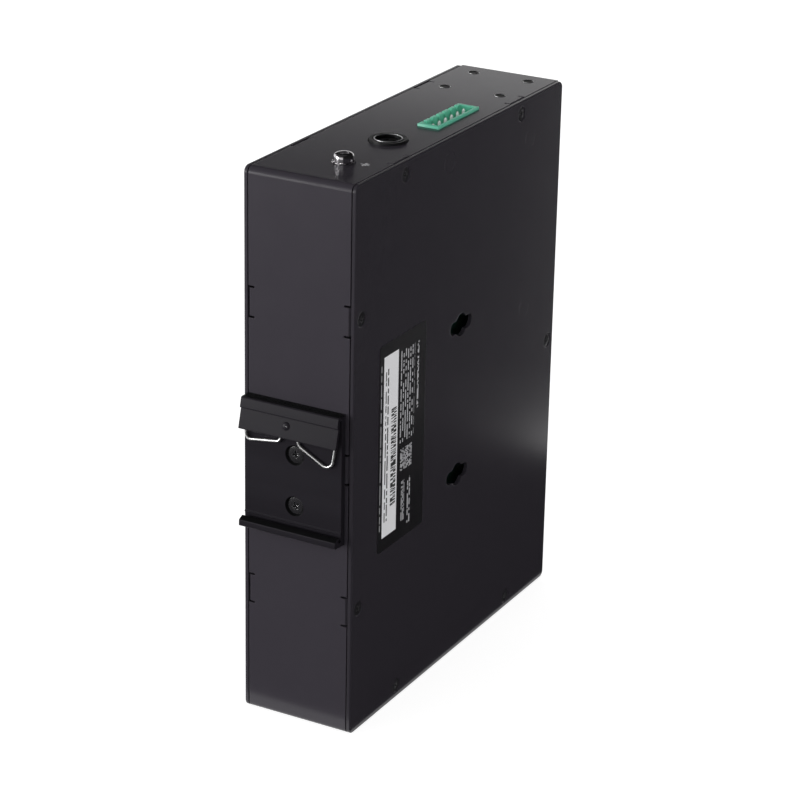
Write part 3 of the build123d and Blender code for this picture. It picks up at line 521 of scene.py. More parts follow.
def coat_finish(name, marked=False):
    """Fine powder coat on sheet steel; the right cover has the rings pressed studs leave and painted shade.
    """
    coat = bpy.context.scene.switch_coat
    _, tree, shader = new_material(name, Specular_IOR_Level=coat.gloss)
    # The right cover's coat is drawn darker than the rest: painted shade
    shade = Vector(coat.colour) * (coat.cover_shade if marked else 1.0)
    drift, paler, smoother, rougher = 0.015, 2.2, 0.006, 0.01
    wear = 0.05 if marked else 0.55
    work = dress(tree, shader, shade * (1 - drift), shade * (1 + drift),
                 (coat.roughness - smoother, coat.roughness + rougher), tuple(shade * paler), wear,
                 coat.grain, coat.grain_depth, coat.edge)
    if marked:
        height = 0.0
        for y, z in RING_MARKS:
            ring = use_group(tree, "Ring mark", Centre=spot(0, y, z), Radius=RING_RADIUS * MM,
                             Width=RING_WIDTH * MM)
            height = sums(tree, "ADD", height, ring["Mask"])
        pressed = relief(tree, height, RING_DEPTH * MM, work["Normal"], invert=True)
        tree.links.new(pressed, shader["Normal"])


def metal_finish(name, *look, grain=1800.0, edge=0.1, **surface):
    """Bare or plated metal."""
    _, tree, shader = new_material(name, Metallic=1.0)
    worn = tuple(min(1.0, part * 1.15) for part in look[0])
    dress(tree, shader, *look, worn, grain=grain, edge=edge, **surface)


def moulded_finish(name, *look, depth=0.004, gloss=0.5, through=0.0, **surface):
    """Moulded plastic, with a little light through it where it is thin."""
    _, tree, shader = new_material(name, Specular_IOR_Level=gloss, Subsurface_Weight=through,
                                   Subsurface_Scale=0.001)
    worn = tuple(min(1.0, part * 1.3 + 0.01) for part in look[0])
    dress(tree, shader, *look, worn, 0.4, depth=depth, **surface)


def blackened_finish(name, *look, gloss=0.6, worn=None, **surface):
    """Blackened or black anodised metal, which reflects like a dull dark coating."""
    _, tree, shader = new_material(name, Specular_IOR_Level=gloss)
    dress(tree, shader, *look, worn or tuple(part * 3 for part in look[0]), **surface)


def label_finish(name):
    """Black film with a white field, plain bars and rows that stand for fine print."""
    _, tree, shader = new_material(name, Specular_IOR_Level=0.5)
    dress(tree, shader, (0.014, 0.0135, 0.0155), (0.019, 0.018, 0.0205), (0.3, 0.38), grain=1500.0,
          depth=0.002, edge=0.03)
    colour = shader["Base Color"].links[0].from_socket
    for (y0, y1), (z0, z1), paint, rows in LABEL_PRINTS:
        box = {"Middle": spot(0, (y0 + y1) / 2, (z0 + z1) / 2),
               "Half": (0, (y1 - y0) / 2 * MM, (z1 - z0) / 2 * MM)}
        if rows:
            pitch, fill, runs, cover = rows
            mask = use_group(tree, "Printed rows", Pitch=pitch * MM, Fill=fill, Runs=runs, Cover=cover,
                             **box)
        else:
            mask = use_group(tree, "Printed box", **box)
        colour = blend(tree, mask["Mask"], colour, (*paint, 1))
    tree.links.new(colour, shader["Base Color"])


def lens_finish(name):
    """Milky clear plastic."""
    _, tree, shader = new_material(name, Transmission_Weight=0.35, IOR=1.49)
    dress(tree, shader, (0.62, 0.66, 0.6), (0.72, 0.75, 0.7), (0.2, 0.32), grain=2200.0, edge=0.1)


def board_finish(name):
    """Green solder mask over copper, with the traces as faint relief."""
    _, tree, shader = new_material(name, Specular_IOR_Level=0.5)
    work = dress(tree, shader, (0.004, 0.024, 0.012), (0.006, 0.034, 0.017), (0.25, 0.35),
                 (0.3, 0.25, 0.12), 0.7, 900.0, 0.004, 0.1)
    blocks, lanes, trace_depth, faint = 260.0, 9.0, 0.02, 0.6
    cells = add(tree, "TexVoronoi", {"Vector": object_place(tree), "Scale": blocks}, distance="MANHATTAN")
    lines = sums(tree, "FRACT", sums(tree, "MULTIPLY", cells.outputs["Distance"], lanes))
    traces = spread_to(tree, lines, 0.0, 1.0, 0.45, 0.55)
    tree.links.new(relief(tree, traces, trace_depth * MM, work["Normal"], faint), shader["Normal"])


# Each slot's maker, the two colours that it drifts between, its range of roughness and what else is its
# own. A stretch draws the grain out into lines, as rolling and extrusion leave them.
FINISHES = {
    "case": (coat_finish, {}),
    "case:marked": (coat_finish, {"marked": True}),
    # The screws' pale edges are partly worn metal and partly painted highlights round heads and recesses
    "case_screws": (blackened_finish, (0.016, 0.0155, 0.017), (0.028, 0.027, 0.03), (0.16, 0.24),
                    {"grain": 2600.0, "depth": 0.001, "edge": 0.09, "gloss": 1.0, "worn": (0.5, 0.5, 0.52),
                     "wear": 0.8}),
    "clip": (blackened_finish, (0.0138, 0.0122, 0.0158), (0.0168, 0.015, 0.0196), (0.36, 0.44),
             {"stretch": (0.02, 1, 1), "gloss": 0.12}),
    # Painted shade: a darker copy of the clip's finish, for its faces that look up and its screw seats
    "clip:shade": (blackened_finish, (0.004, 0.004, 0.0045), (0.006, 0.006, 0.0066), (0.4, 0.5),
                   {"gloss": 0.1}),
    "spring": (metal_finish, (0.99, 0.99, 0.99), (0.93, 0.93, 0.93), (0.36, 0.42),
               {"depth": 0.001, "edge": 0.05}),
    "ground": (metal_finish, (0.95, 0.93, 0.95), (0.86, 0.84, 0.86), (0.07, 0.14),
               {"depth": 0.002, "edge": 0.08}),
    "label": (label_finish, {}),
    "label:ink": (moulded_finish, (0.8, 0.8, 0.82), (0.9, 0.9, 0.92), (0.4, 0.5), {"depth": 0.001}),
    "board": (board_finish, {}),
    "posts": (metal_finish, (0.62, 0.6, 0.55), (0.5, 0.48, 0.45), (0.3, 0.42), {}),
    "shield": (metal_finish, (0.66, 0.66, 0.65), (0.55, 0.55, 0.55), (0.22, 0.36),
               {"stretch": (1, 0.04, 1)}),
    "shield:chrome": (metal_finish, (0.97, 0.97, 0.98), (0.9, 0.9, 0.91), (0.4, 0.5),
                      {"depth": 0.001, "edge": 0.06}),
    "shield:dark": (metal_finish, (0.05, 0.05, 0.052), (0.035, 0.035, 0.037), (0.45, 0.55),
                    {"depth": 0.002, "edge": 0.06}),
    "insert": (moulded_finish, (0.011, 0.011, 0.012), (0.016, 0.016, 0.017), (0.34, 0.44), {}),
    "contacts": (metal_finish, (0.86, 0.62, 0.26), (0.78, 0.54, 0.2), (0.18, 0.28), {"edge": 0.05}),
    # Tin drawn as glossy near-white plastic rather than metal: painted reflection that keeps the pins bright
    "contacts:tin": (moulded_finish, (0.95, 0.95, 0.95), (0.9, 0.9, 0.9), (0.2, 0.3),
                     {"depth": 0.001, "edge": 0.05, "gloss": 1.0}),
    "lens": (lens_finish, {}),
    "header": (moulded_finish, (0.125, 0.56, 0.385), (0.15, 0.63, 0.43), (0.32, 0.42),
               {"depth": 0.003, "through": 0.02}),
    "chips": (moulded_finish, (0.02, 0.02, 0.021), (0.03, 0.03, 0.031), (0.5, 0.62), {}),
    "pad": (moulded_finish, (0.36, 0.42, 0.48), (0.42, 0.48, 0.54), (0.6, 0.75), {}),
    "sink": (blackened_finish, (0.028, 0.028, 0.03), (0.04, 0.04, 0.043), (0.38, 0.48),
             {"stretch": (1, 1, 0.03)}),
    "cans": (metal_finish, (0.62, 0.62, 0.64), (0.52, 0.52, 0.54), (0.25, 0.38), {}),
    "relay": (moulded_finish, (0.72, 0.68, 0.56), (0.78, 0.74, 0.62), (0.32, 0.42), {"through": 0.1}),
    "surge": (moulded_finish, (0.02, 0.08, 0.36), (0.03, 0.1, 0.42), (0.2, 0.3), {}),
    "choke": (moulded_finish, (0.04, 0.16, 0.08), (0.05, 0.2, 0.1), (0.45, 0.6), {}),
}


def finish(slot):
    """The material of a slot, built when it is first asked for."""
    name = "finish_" + slot.replace(":", "_")
    if name not in bpy.data.materials:
        build, *look, changes = FINISHES[slot]
        build(name, *look, **changes)
    return bpy.data.materials[name]


# Settings

def millimetres(name, description, default, **limits):
    """A setting that is a length in millimetres."""
    return FloatProperty(name=name, description=description + " in millimetres", default=default, **limits)


def fraction(name, description, default):
    """A setting from 0 to 1."""
    return FloatProperty(name=name, description=description, default=default, min=0, max=1, subtype="FACTOR")


class SwitchCoat(bpy.types.PropertyGroup):
    """The case's coating."""
    colour: FloatVectorProperty(
        name="Colour", description="Colour of the powder coat", subtype="COLOR", size=3, min=0, max=1,
        default=(0.041, 0.0368, 0.0456))
    roughness: fraction("Roughness", "How dull the coat is", 0.24)
    gloss: fraction("Gloss", "Strength of the coat's reflections", 0.4)
    # Painted shade: how dark the right cover is drawn, as a share of the rest of the coat
    cover_shade: fraction("Cover shade", "Colour of the right cover as a share of the case's", 0.8)
    grain: FloatProperty(
        name="Grain", description="Grains of the coat in a metre", default=3200.0, min=100)
    grain_depth: millimetres("Grain depth", "Height of the coat's grain", 0.0015, min=0, precision=4)
    edge: millimetres("Edge", "Radius of the coated edges", 0.22, min=0)


class SwitchScrews(bpy.types.PropertyGroup):
    """The countersunk and pan-head screws."""
    cover_head: millimetres("Cover screw head", "Radius of a cover screw's head", 2.08)
    cover_sink: millimetres("Cover screw depth", "How far a cover screw's head lies in,", 0.22)
    clip_head: millimetres("Clip screw head", "Radius of a clip screw's head", 2.5)
    clip_sink: millimetres("Clip screw depth", "How far a clip screw's head lies in,", 0.7)
    recess: fraction("Cross recess", "Width of the recess as a share of the head's radius", 0.34)


class SwitchWire(bpy.types.PropertyGroup):
    """The clip's wire spring."""
    radius: millimetres("Wire radius", "Radius of the wire", 0.45, min=0.1)
    bend: millimetres("Bend radius", "Inner radius of the wire's bends", 1.5, min=0.3)


class SwitchSockets(bpy.types.PropertyGroup):
    """The openings of the top plate."""
    pitch: millimetres("Pin pitch", "From one terminal pin to the next", 3.81)
    pin_sink: millimetres("Pin depth", "From the header's rim to the pins' tips", 0.4)
    wall: millimetres("Header wall", "Plain long wall of the header", 0.8)
    slotted_wall: millimetres("Slotted wall", "Slotted long wall of the header", 1.25)
    end: millimetres("Header end", "End walls of the header", 1.15)
    lining: millimetres("Jack lining", "Thickness of the power jack's metal lining", 0.8)
    thread: millimetres("Thread radius", "Outer radius of the tapped holes' walls", 1.64)
    ear_pitch: millimetres("Ear hole pitch", "From one tapped hole to the next", 19.05)
    ear_from_front: millimetres(
        "Ear holes from the front", "From the front to the tapped holes' middle", 16.3)


class SwitchStudio(bpy.types.PropertyGroup):
    """Light, floor and camera."""
    key: FloatProperty(
        name="Key light", description="Power of the main soft light", default=16.6, min=0, unit="POWER")
    fill: FloatProperty(
        name="Ambient light", description="Strength of the light from all round", default=0.9, min=0)
    horizon: fraction("Horizon", "How bright the room looks near the horizon in reflections", 0.9)
    zenith: fraction("Zenith", "How bright the room looks overhead in reflections", 0.04)
    front: fraction("Front", "Share of the room's brightness that reflections see behind the camera", 0.5)
    lens: FloatProperty(
        name="Lens", description="Focal length of the camera", default=125.24, min=1, unit="CAMERA")


# Screws

def cross_recess(piece, width, reach, depth):
    """Cuts a tapered cross recess down from a head's face at Z = 0."""
    above, taper = 0.6, (0.35, 0.55, 1)
    for turn in (0, 90):
        tool = bar("tool", around(0, reach), around(0, width / 2), (-depth, above))
        edit_only(tool, "FACE", lambda middle, _: middle.z < NEAR - depth)
        bpy.ops.transform.resize(value=taper, center_override=(0, 0, 0))
        mode("OBJECT")
        tool.rotation_euler.z = math.radians(turn)
        cut_by(piece, settle(tool))


def countersunk_screw(name, radius, shank, length):
    """A countersunk screw about Z: a thin land, the cone, the shank and a cross recess."""
    rounding = 0.09
    screw = round_bar(name, radius, (-HEAD_LAND, 0))
    edit_only(screw, "FACE", lambda middle, _: middle.z < NEAR - HEAD_LAND)
    extrude_to((0, 0, shank - radius), shank / radius)
    extrude_to((0, 0, -length))
    mode("OBJECT")
    bevel_rim(screw, 0, rounding, 3)
    width = bpy.context.scene.switch_screws.recess * radius
    cross_recess(screw, width, radius * RECESS_REACH, radius * RECESS_DEPTH)
    return smoothed(screw)


def row_of_copies(name, model, places, turn):
    """Copies of a model at several places, each spun a little further, as one piece."""
    first_spin, next_spin = 37, 67
    copies = []
    for index, place in enumerate(places):
        spin = turned(first_spin + next_spin * index, "Z")
        copies.append(put(copied(model, f"{name}_{index}"), place, turn @ spin))
    bpy.data.objects.remove(model)
    return joined(name, copies)


def cover_screw_places():
    """Where the cover screws are, along Y and Z."""
    middle_y, middle_z = CASE.y / 2, CASE.z / 2
    inset, rise, reach = 4.0, 45.0, 36.15
    places = [(inset, middle_z - rise), (inset, middle_z + rise), (CASE.y - inset, middle_z)]
    for z in (inset, CASE.z - inset):
        places += [(middle_y - reach, z), (middle_y + reach, z)]
    return places


def clip_screw_axes():
    """The axes of the two clip screws, as X and Z."""
    low, high = node_span("din_clip_screws")
    return [((low.x + high.x) / 2, z) for z in (low.z + CLIP_SCREW_EDGE, high.z - CLIP_SCREW_EDGE)]


class SWITCH_OT_case_screws(bpy.types.Operator):
    """Countersunk screws of both covers and of the rail clip, with painted glints in the clip screws'
    recesses
    """
    bl_idname = "switch.case_screws"
    bl_label = "Case screws"

    def execute(self, context):
        sizes = context.scene.switch_screws
        for name, face, side in (("right_cover_screws", CASE.x - sizes.cover_sink, 1),
                                 ("left_cover_screws", sizes.cover_sink, -1)):
            model = countersunk_screw("model", sizes.cover_head, COVER_SHANK, COVER_LENGTH)
            places = [(face, y, z) for y, z in cover_screw_places()]
            row = row_of_copies(name + "_piece", model, places, turned(90 * side, "Y"))
            shown(row, "case_screws", name)
        face = sizes.clip_sink - PLATE
        model = countersunk_screw("model", sizes.clip_head, CLIP_SHANK, CLIP_LENGTH)
        places = [(x, face, z) for x, z in clip_screw_axes()]
        row = row_of_copies("din_clip_screws_piece", model, places, turned(90, "X"))
        shown(row, "case_screws", "din_clip_screws")
        # Bright metal spots in the clip screws' recesses, which stand in for glints: painted highlights
        spots = [Vector(place) + SCREW_GLINT_PLACE for place in places]
        spots = [flat_ball("spot", SCREW_GLINT_RADIUS, SCREW_GLINT_RISE, place) for place in spots]
        shown(joined("din_clip_screw_wear", spots), "ground")
        return {"FINISHED"}


# Ground point

def pan_head(name, radius, height, shank, length):
    """A pan-head screw about Z with its seat at Z = 0: domed head, shank and cross recess."""
    dome, recess_width, recess_depth = 0.5, 0.3, 0.62
    screw = round_bar(name, radius, (0, height), sides=64)
    bevel_rim(screw, height, radius * dome, 8, profile=0.6)
    edit_only(screw, "FACE", lambda middle, _: middle.z < NEAR)
    extrude_to((0, 0, 0), shank / radius)
    extrude_to((0, 0, -length))
    mode("OBJECT")
    screw.location.z = -height * MM
    cross_recess(settle(screw), radius * recess_width, radius * RECESS_REACH, height * recess_depth)
    screw.location.z = height * MM
    return smoothed(settle(screw), 40)


def toothed_washer(name, radius, bore, thickness, teeth):
    """A flat ring with twisted teeth round its rim."""
    ring_radius, ring_height = radius * 0.84, thickness * 0.55
    start, end, half_width, rounding = radius * 0.7, radius - 0.06, 0.3, 0.07
    foot, top, lift, twist = 0.02, thickness * 0.5, thickness * 0.22, 24
    ring = round_bar(name, ring_radius, (0, ring_height), sides=72)
    cut_by(ring, round_bar("tool", bore, (-CLEAR, 2 * CLEAR)))
    pieces = [ring]
    for index in range(teeth):
        tooth = bar("tooth", (start, end), around(0, half_width), (foot, top))
        finished_with(tooth, "BEVEL", width=rounding * MM, segments=2)
        raised = Matrix.Translation((0, 0, lift * MM))
        tooth.matrix_world = turned(360 * index / teeth, "Z") @ raised @ turned(twist, "X")
        pieces.append(settle(tooth))
    return smoothed(joined(name, pieces))


class SWITCH_OT_ground_point(bpy.types.Operator):
    """Ground screw and its toothed washer"""
    bl_idname = "switch.ground_point"
    bl_label = "Ground point"

    def execute(self, context):
        low, high = node_span("ground_washer")
        middle = (low + high) / 2
        bore, teeth = 1.56, 14
        thickness = high.z - low.z
        washer = toothed_washer("ground_washer_piece", (high.x - low.x) / 2, bore, thickness, teeth)
        shown(put(washer, (middle.x, middle.y, low.z)), "ground", "ground_washer")
        low, high = node_span("ground_screw")
        seat = CASE.z + thickness
        screw = pan_head("ground_screw_piece", (high.x - low.x) / 2, high.z - seat, GROUND_SHANK,
                         GROUND_LENGTH)
        shown(put(screw, (middle.x, middle.y, seat)), "ground", "ground_screw")
        return {"FINISHED"}


# Rail clip

def cad_copy(node, name):
    """A new piece with a copy of a CAD node's mesh whose doubled points are merged."""
    merge = 0.005
    source = frame["nodes"][node]
    piece = bpy.data.objects.new(name, source.data.copy())
    bpy.context.scene.collection.objects.link(piece)
    piece.matrix_world = source.matrix_world
    settle(piece)
    bpy.ops.mesh.customdata_custom_splitnormals_clear()
    mode("EDIT")
    bpy.ops.mesh.select_all(action="SELECT")
    bpy.ops.mesh.remove_doubles(threshold=merge * MM)
    mode("OBJECT")
    return piece


class SWITCH_OT_rail_clip(bpy.types.Operator):
    """Rail clip: roof grooves, screw seats, raised punch mark, painted shade and a painted glint"""
    bl_idname = "switch.rail_clip"
    bl_label = "Rail clip"

    def execute(self, context):
        low, high = node_span("din_clip")
        clip = cad_copy("din_clip", "din_clip_piece")
        for back in GROOVES:
            groove = bar("tool", (low.x - CLEAR, high.x + CLEAR), around(-back, GROOVE_WIDTH / 2),
                         (high.z - GROOVE_DEPTH, high.z + CLEAR))
            cut_by(clip, put(groove))
        for x, z in clip_screw_axes():
            seat = round_bar("tool", SEAT_RADIUS, (-SEAT_DEPTH, SEAT_OVER), sides=64, top_radius=SEAT_RIM)
            cut_by(clip, put(seat, (x, -PLATE, z), turned(90, "X")))
        lean = turned(MARK_LEAN, "X")
        mark = Vector(((low.x + high.x) / 2 - MARK_ASIDE, -MARK_BACK, high.z - MARK_DROP))
        cut_by(clip, flat_ball("tool", MARK_RADIUS, MARK_RISE, mark, lean), "UNION")
        shown(smoothed(clip), "clip", "din_clip")
        self.paint_shade_on_faces(clip)
        # A bright metal dot beside the punch mark, which stands in for a glint: a painted highlight
        shine = flat_ball("clip_punch_glint", MARK_GLINT_RADIUS, MARK_GLINT_RISE, mark + MARK_GLINT_PLACE, lean)
        shown(shine, "spring")
        return {"FINISHED"}

    def paint_shade_on_faces(self, clip):
        """Paints shade on the faces that look up and on the screws' seats, with a darker copy of the clip's
        finish.
        """
        margin, looks_up = 0.03, 0.8
        middle_x = clip_screw_axes()[0][0]
        clip.data.materials.append(finish("clip:shade"))
        for face in clip.data.polygons:
            x, y, _ = (face.center - CORNER) / MM
            seat = y > margin - PLATE and abs(x - middle_x) < SEAT_RIM + margin
            face.material_index = int(seat or face.normal.z > looks_up)


# Wire spring

def spring_corners():
    """The corners of the wire's line across the clip, as X and Z."""
    low, high = node_span("din_clip")
    lip = high.z - FLANGE_DROP
    return [(low.x + share * (high.x - low.x), lip + rise) for share, rise in SPRING_LINE]


def rounded_line(corners, radii, steps=10):
    """A line through the corners with an arc at each."""
    points = [Vector(corners[0])]
    for before, corner, after, radius in zip(corners, corners[1:], corners[2:], radii):
        corner = Vector(corner)
        back = (Vector(before) - corner).normalized()
        on = (Vector(after) - corner).normalized()
        half = back.angle(on) / 2
        reach = radius / math.tan(half)
        centre = corner + (back + on).normalized() * (radius / math.sin(half))
        start, end = corner + back * reach - centre, corner + on * reach - centre
        points += [centre + start.slerp(end, step / steps).normalized() * radius
                   for step in range(steps + 1)]
    return points + [Vector(corners[-1])]


class SWITCH_OT_wire_spring(bpy.types.Operator):
    """Formed wire that presses the rail"""
    bl_idname = "switch.wire_spring"
    bl_label = "Wire spring"

    def execute(self, context):
        wire = context.scene.switch_wire
        depth = node_middle("din_clip_spring").y
        corners = spring_corners()
        line = rounded_line(corners, [wire.bend] * (len(corners) - 3) + [wire.bend * WIDE_BEND])
        deselect()
        bpy.ops.curve.primitive_nurbs_path_add(location=(0, 0, 0))
        piece = named("din_clip_spring_piece")
        piece.data.splines.clear()
        spline = piece.data.splines.new("POLY")
        spline.points.add(len(line) - 1)
        for point, (x, z) in zip(spline.points, line):
            point.co = (*spot(x, depth, z), 1)
        piece.data.bevel_depth = wire.radius * MM
        piece.data.bevel_resolution = 5
        piece.data.use_fill_caps = True
        alone(piece)
        bpy.ops.object.convert(target="MESH")
        shown(smoothed(bpy.context.active_object, 60), "spring", "din_clip_spring")
        return {"FINISHED"}


# Sockets on the top

def square_pin(x, y, z, tail):
    """A square pin with a tapered tip that bends under the moulding to its tail."""
    shoulder = z[1] - PIN_TAPER
    pin = bar("pin", around(x, PIN_HALF), around(y, PIN_HALF), (z[0], shoulder))
    edit_only(pin, "FACE", lambda middle, _: middle.z > shoulder - NEAR)
    extrude_to((0, 0, PIN_TAPER), PIN_TIP, (x, y, 0))
    mode("OBJECT")
    foot = bar("foot", (x, tail), around(y, PIN_HALF), (z[0], z[0] + 2 * PIN_HALF))
    return cut_by(pin, foot, "UNION")


class SWITCH_OT_terminal_header(bpy.types.Operator):
    """Green terminal header with a slotted wall, and its pins"""
    bl_idname = "switch.terminal_header"
    bl_label = "Terminal header"

    def execute(self, context):
        sizes = context.scene.switch_sockets
        low, high = node_span("terminal_header")
        pin_low, pin_high = node_span("terminal_pins")
        pin_x = pin_low.x + PIN_FROM_EDGE
        places = [(low.y + high.y) / 2 + (index - (PINS - 1) / 2) * sizes.pitch for index in range(PINS)]
        rounding, overlap = 0.12, 0.1
        header = bar("terminal_header_piece", (low.x, high.x), (low.y, high.y), (low.z, high.z))
        finished_with(header, "BEVEL", width=rounding * MM, segments=2)
        wall = low.x + sizes.slotted_wall
        cut_by(header, bar("tool", (wall, high.x - sizes.wall), (low.y + sizes.end, high.y - sizes.end),
                           (low.z + HEADER_FLOOR, high.z + CLEAR)))
        for y in places:
            cut_by(header, bar("tool", (low.x - CLEAR / 2, wall + overlap), around(y, SLOT_HALF),
                               (high.z - SLOT_DEPTH, high.z + CLEAR)))
            cut_by(header, bar("tool", around(pin_x, PIN_HOLE_HALF), around(y, PIN_HOLE_HALF),
                               (low.z - CLEAR, low.z + 2 * CLEAR)))
        shown(put(smoothed(header)), "header", "terminal_header")
        top = high.z - sizes.pin_sink
        pins = [square_pin(pin_x, y, (pin_low.z, top), pin_high.x) for y in places]
        # The pins' near-white tin finish is painted reflection
        shown(put(smoothed(joined("terminal_pins_piece", pins))), "contacts:tin", "terminal_pins")
        return {"FINISHED"}


class SWITCH_OT_power_jack(bpy.types.Operator):
    """Dark lining of the power jack, and the bright lip round its mouth"""
    bl_idname = "switch.power_jack"
    bl_label = "Power jack lining"

    def execute(self, context):
        low, high = node_span("power_jack_shell")
        middle = (low + high) / 2
        rim = node_span("power_jack_body")[1].z - JACK_DROP
        outer = (high.x - low.x) / 2
        mouth = outer - context.scene.switch_sockets.lining
        shell = round_bar("power_jack_shell_piece", outer, (low.z, rim), sides=96)
        cut_by(shell, round_bar("tool", mouth, (low.z - CLEAR, rim + CLEAR), sides=96))
        bevel_rim(shell, rim, JACK_ROUNDING, 4)
        shown(put(smoothed(shell), (middle.x, middle.y, 0)), "shield:dark", "power_jack_shell")
        lip = wire_ring("power_jack_lip", mouth + LIP_GAP, LIP_WIRE, (middle.x, middle.y, rim + LIP_RISE))
        shown(lip, "shield:chrome")
        return {"FINISHED"}


def tapped_sleeve(radius):
    """The tapped wall of a hole about Z, whose mouth stands a little over Z = 0."""
    root, crest = radius - THREAD_ROOT, radius - THREAD_CREST
    sleeve = round_bar("model", radius, (-EAR_DEPTH, EAR_BURR))
    cut_by(sleeve, round_bar("tool", radius - EAR_WALL, (-EAR_DEPTH - CLEAR, CLEAR)))
    bevel_rim(sleeve, EAR_BURR, EAR_ROUNDING, 2)
    step = EAR_DEPTH / EAR_TURNS
    for index in range(EAR_TURNS):
        z = -EAR_DEPTH + index * step
        cut_by(sleeve, round_bar("tool", crest, (z, z + step / 2), top_radius=root))
        cut_by(sleeve, round_bar("tool", root, (z + step / 2, z + step), top_radius=crest))
    return smoothed(sleeve)


class SWITCH_OT_ear_threads(bpy.types.Operator):
    """Tapped walls of the holes for rack ears, and the bare rims round the upper ones"""
    bl_idname = "switch.ear_threads"
    bl_label = "Ear hole threads"

    def execute(self, context):
        sizes = context.scene.switch_sockets
        half = sizes.ear_pitch / 2
        middle_y = CASE.y - sizes.ear_from_front
        holes = [(x, y) for x in around(CASE.x / 2, half) for y in around(middle_y, half)]
        model = tapped_sleeve(sizes.thread)
        sleeves = [put(copied(model, "sleeve"), (x, y, end), turned(turn, "X"))
                   for end, turn in ((CASE.z, 0), (EAR_BURR, 180)) for x, y in holes]
        bpy.data.objects.remove(model)
        shown(joined("ear_hole_threads", sleeves), "shield:dark")
        rims = [wire_ring("rim", sizes.thread + RIM_GAP, RIM_WIRE, (x, y, CASE.z + RIM_RISE))
                for x, y in holes]
        shown(joined("ear_hole_rims", rims), "shield:chrome")
        return {"FINISHED"}


class SWITCH_OT_ground_symbol(bpy.types.Operator):
    """Earth symbol printed beside the ground screw"""
    bl_idname = "switch.ground_symbol"
    bl_label = "Earth symbol"

    def execute(self, context):
        x, y, _ = node_span("ground_screw")[1] + SYMBOL_PLACE
        first_bar = x + STEM_LENGTH
        lines = [bar("line", (x, first_bar), around(y, STEM_HALF), (0, FILM))]
        for index, half in enumerate(EARTH_BARS):
            start = first_bar + index * EARTH_PITCH
            lines.append(bar("line", (start, start + EARTH_BAR), around(y, half), (0, FILM)))
        shown(put(joined("earth_symbol", lines), (0, 0, CASE.z)), "label:ink")
        return {"FINISHED"}


# Carried-over nodes

# The right cover has the ring marks and a darker coat, which is painted shade
SPECIAL_FINISHES = {"right_cover": "case:marked"}


class SWITCH_OT_finishes(bpy.types.Operator):
    """Finishes of the pieces that come from the CAD model"""
    bl_idname = "switch.finishes"
    bl_label = "Finishes"

    def execute(self, context):
        for part in frame["record"]["subparts"]:
            material = finish(SPECIAL_FINISHES.get(part["node"], part["material_slot"]))
            for place in frame["nodes"][part["node"]].material_slots:
                place.material = material
        return {"FINISHED"}


# Studio

def floor_finish():
    """A plain pale floor that looks white where it is lit and keeps the object's shadow."""
    material, tree, shader = new_material("floor", Base_Color=(0.6, 0.6, 0.6, 1), Roughness=0.9,
                                          Emission_Color=(1, 1, 1, 1), Specular_IOR_Level=0.0)
    glow = 0.8
    path = add(tree, "LightPath").outputs
    seen = sums(tree, "MAXIMUM", path["Is Camera Ray"], path["Is Glossy Ray"])
    seen = sums(tree, "MAXIMUM", seen, path["Is Transmission Ray"])
    tree.links.new(sums(tree, "MULTIPLY", seen, glow), shader["Emission Strength"])
    return material


def room_world(studio):
    """White for the camera; paler near the horizon than overhead, and in reflections paler at the back."""
    world = bpy.data.worlds.new("room")
    world.use_nodes = True
    tree = world.node_tree
    tree.nodes.clear()
    path = add(tree, "LightPath").outputs
    way = add(tree, "SeparateXYZ", {0: add(tree, "TexCoord").outputs["Generated"]}).outputs
    fade_up, fade_back, lit_low, lit_high = (0.3, 0.6), (-0.5, 0.3), 1.6, 0.1
    seen = spread_to(tree, way["Z"], studio.horizon, studio.zenith, *fade_up)
    seen = sums(tree, "MULTIPLY", seen, spread_to(tree, way["Y"], studio.front, 1.0, *fade_back))
    lit = spread_to(tree, way["Z"], lit_low * studio.fill, lit_high * studio.fill)
    mirrored = sums(tree, "MAXIMUM", path["Is Glossy Ray"], path["Is Transmission Ray"])
    level = add(tree, "Mix", {0: mirrored, 2: lit, 3: seen}, data_type="FLOAT").outputs[0]
    level = add(tree, "Mix", {0: path["Is Camera Ray"], 2: level, 3: 1.0}, data_type="FLOAT").outputs[0]
    background = add(tree, "Background", {"Color": (1, 1, 1, 1), "Strength": level})
    add(tree, "OutputWorld", {"Surface": background.outputs[0]})
    return world


def soft_light(name, place, aim, size, power):
    """A square soft light that looks at a point."""
    bpy.ops.object.light_add(type="AREA", location=place)
    light = named(name)
    light.data.shape = "SQUARE"
    light.data.size = size
    light.data.energy = power
    light.rotation_euler = (Vector(aim) - Vector(place)).to_track_quat("-Z", "Y").to_euler()


def dark_card(name, place, size, turn):
    """A dark card that only reflections see, as a photographer keeps shine off a face."""
    deselect()
    bpy.ops.mesh.primitive_plane_add(size=1, location=place,
                                     rotation=[math.radians(angle) for angle in turn])
    card = named(name)
    card.scale = (*size, 1)
    card.data.materials.append(bpy.data.materials.get("dark_card") or new_material(
        "dark_card", Base_Color=(0.004, 0.004, 0.004, 1), Roughness=1.0, Specular_IOR_Level=0.0)[0])
    card.visible_camera = False
    card.visible_shadow = False
    card.visible_diffuse = False


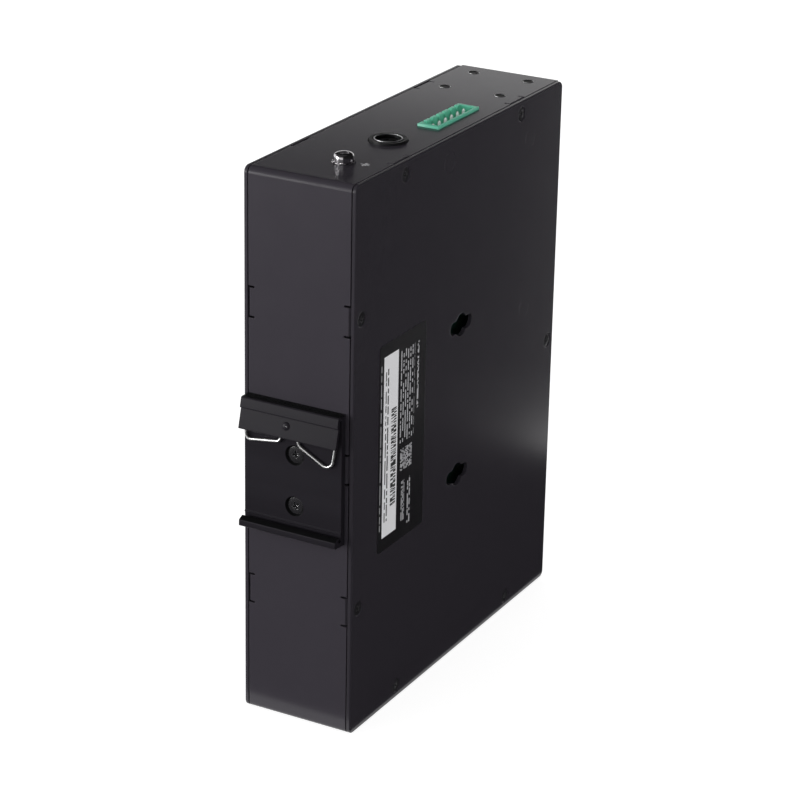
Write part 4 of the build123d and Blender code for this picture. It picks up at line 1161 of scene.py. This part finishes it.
class SWITCH_OT_studio(bpy.types.Operator):
    """Floor, soft light, room and camera"""
    bl_idname = "switch.studio"
    bl_label = "Studio"

    def execute(self, context):
        scene, studio = context.scene, context.scene.switch_studio
        scene.view_settings.view_transform = "Standard"
        deselect()
        bpy.ops.mesh.primitive_plane_add(size=FLOOR_SIZE, location=(0, 0, CAD_BOX[0][2]))
        floor = named("floor")
        floor.data.materials.append(floor_finish())
        scene.world = room_world(studio)
        soft_light("key_light", KEY_PLACE, KEY_AIM, KEY_SIZE, studio.key)
        for name, (place, size, turn) in CARDS.items():
            dark_card(name, place, size, turn)
        bpy.ops.object.camera_add(
            location=CAMERA_PLACE, rotation=[math.radians(angle) for angle in CAMERA_TURN])
        camera = named("camera")
        camera.data.lens = studio.lens
        camera.data.sensor_width = 36
        scene.camera = camera
        return {"FINISHED"}


class SWITCH_PT_panel(bpy.types.Panel):
    """The switch's pieces and settings"""
    bl_idname = "SWITCH_PT_panel"
    bl_label = "Rail switch"
    bl_space_type = "VIEW_3D"
    bl_region_type = "UI"
    bl_category = "Rail switch"

    def draw(self, context):
        for group in GROUPS:
            settings = getattr(context.scene, group)
            for name in settings.bl_rna.properties.keys():
                if name not in ("rna_type", "name"):
                    self.layout.prop(settings, name)
        for operator in OPERATORS:
            self.layout.operator(operator.bl_idname)


GROUPS = {
    "switch_coat": SwitchCoat,
    "switch_screws": SwitchScrews,
    "switch_wire": SwitchWire,
    "switch_sockets": SwitchSockets,
    "switch_studio": SwitchStudio,
}
OPERATORS = (
    SWITCH_OT_finishes,
    SWITCH_OT_case_screws,
    SWITCH_OT_ground_point,
    SWITCH_OT_rail_clip,
    SWITCH_OT_wire_spring,
    SWITCH_OT_terminal_header,
    SWITCH_OT_power_jack,
    SWITCH_OT_ear_threads,
    SWITCH_OT_ground_symbol,
    SWITCH_OT_studio,
)


def register():
    """Makes the settings, operators and panel known."""
    for name, group in GROUPS.items():
        bpy.utils.register_class(group)
        setattr(bpy.types.Scene, name, PointerProperty(type=group))
    for made in (*OPERATORS, SWITCH_PT_panel):
        bpy.utils.register_class(made)


def unregister():
    """Takes them away again."""
    for made in (SWITCH_PT_panel, *reversed(OPERATORS)):
        bpy.utils.unregister_class(made)
    for name, group in GROUPS.items():
        delattr(bpy.types.Scene, name)
        bpy.utils.unregister_class(group)


def main():
    """Builds everything in order."""
    register()
    for operator in OPERATORS:
        group, name = operator.bl_idname.split(".")
        getattr(getattr(bpy.ops, group), name)()


if __name__ == "__main__":
    main()
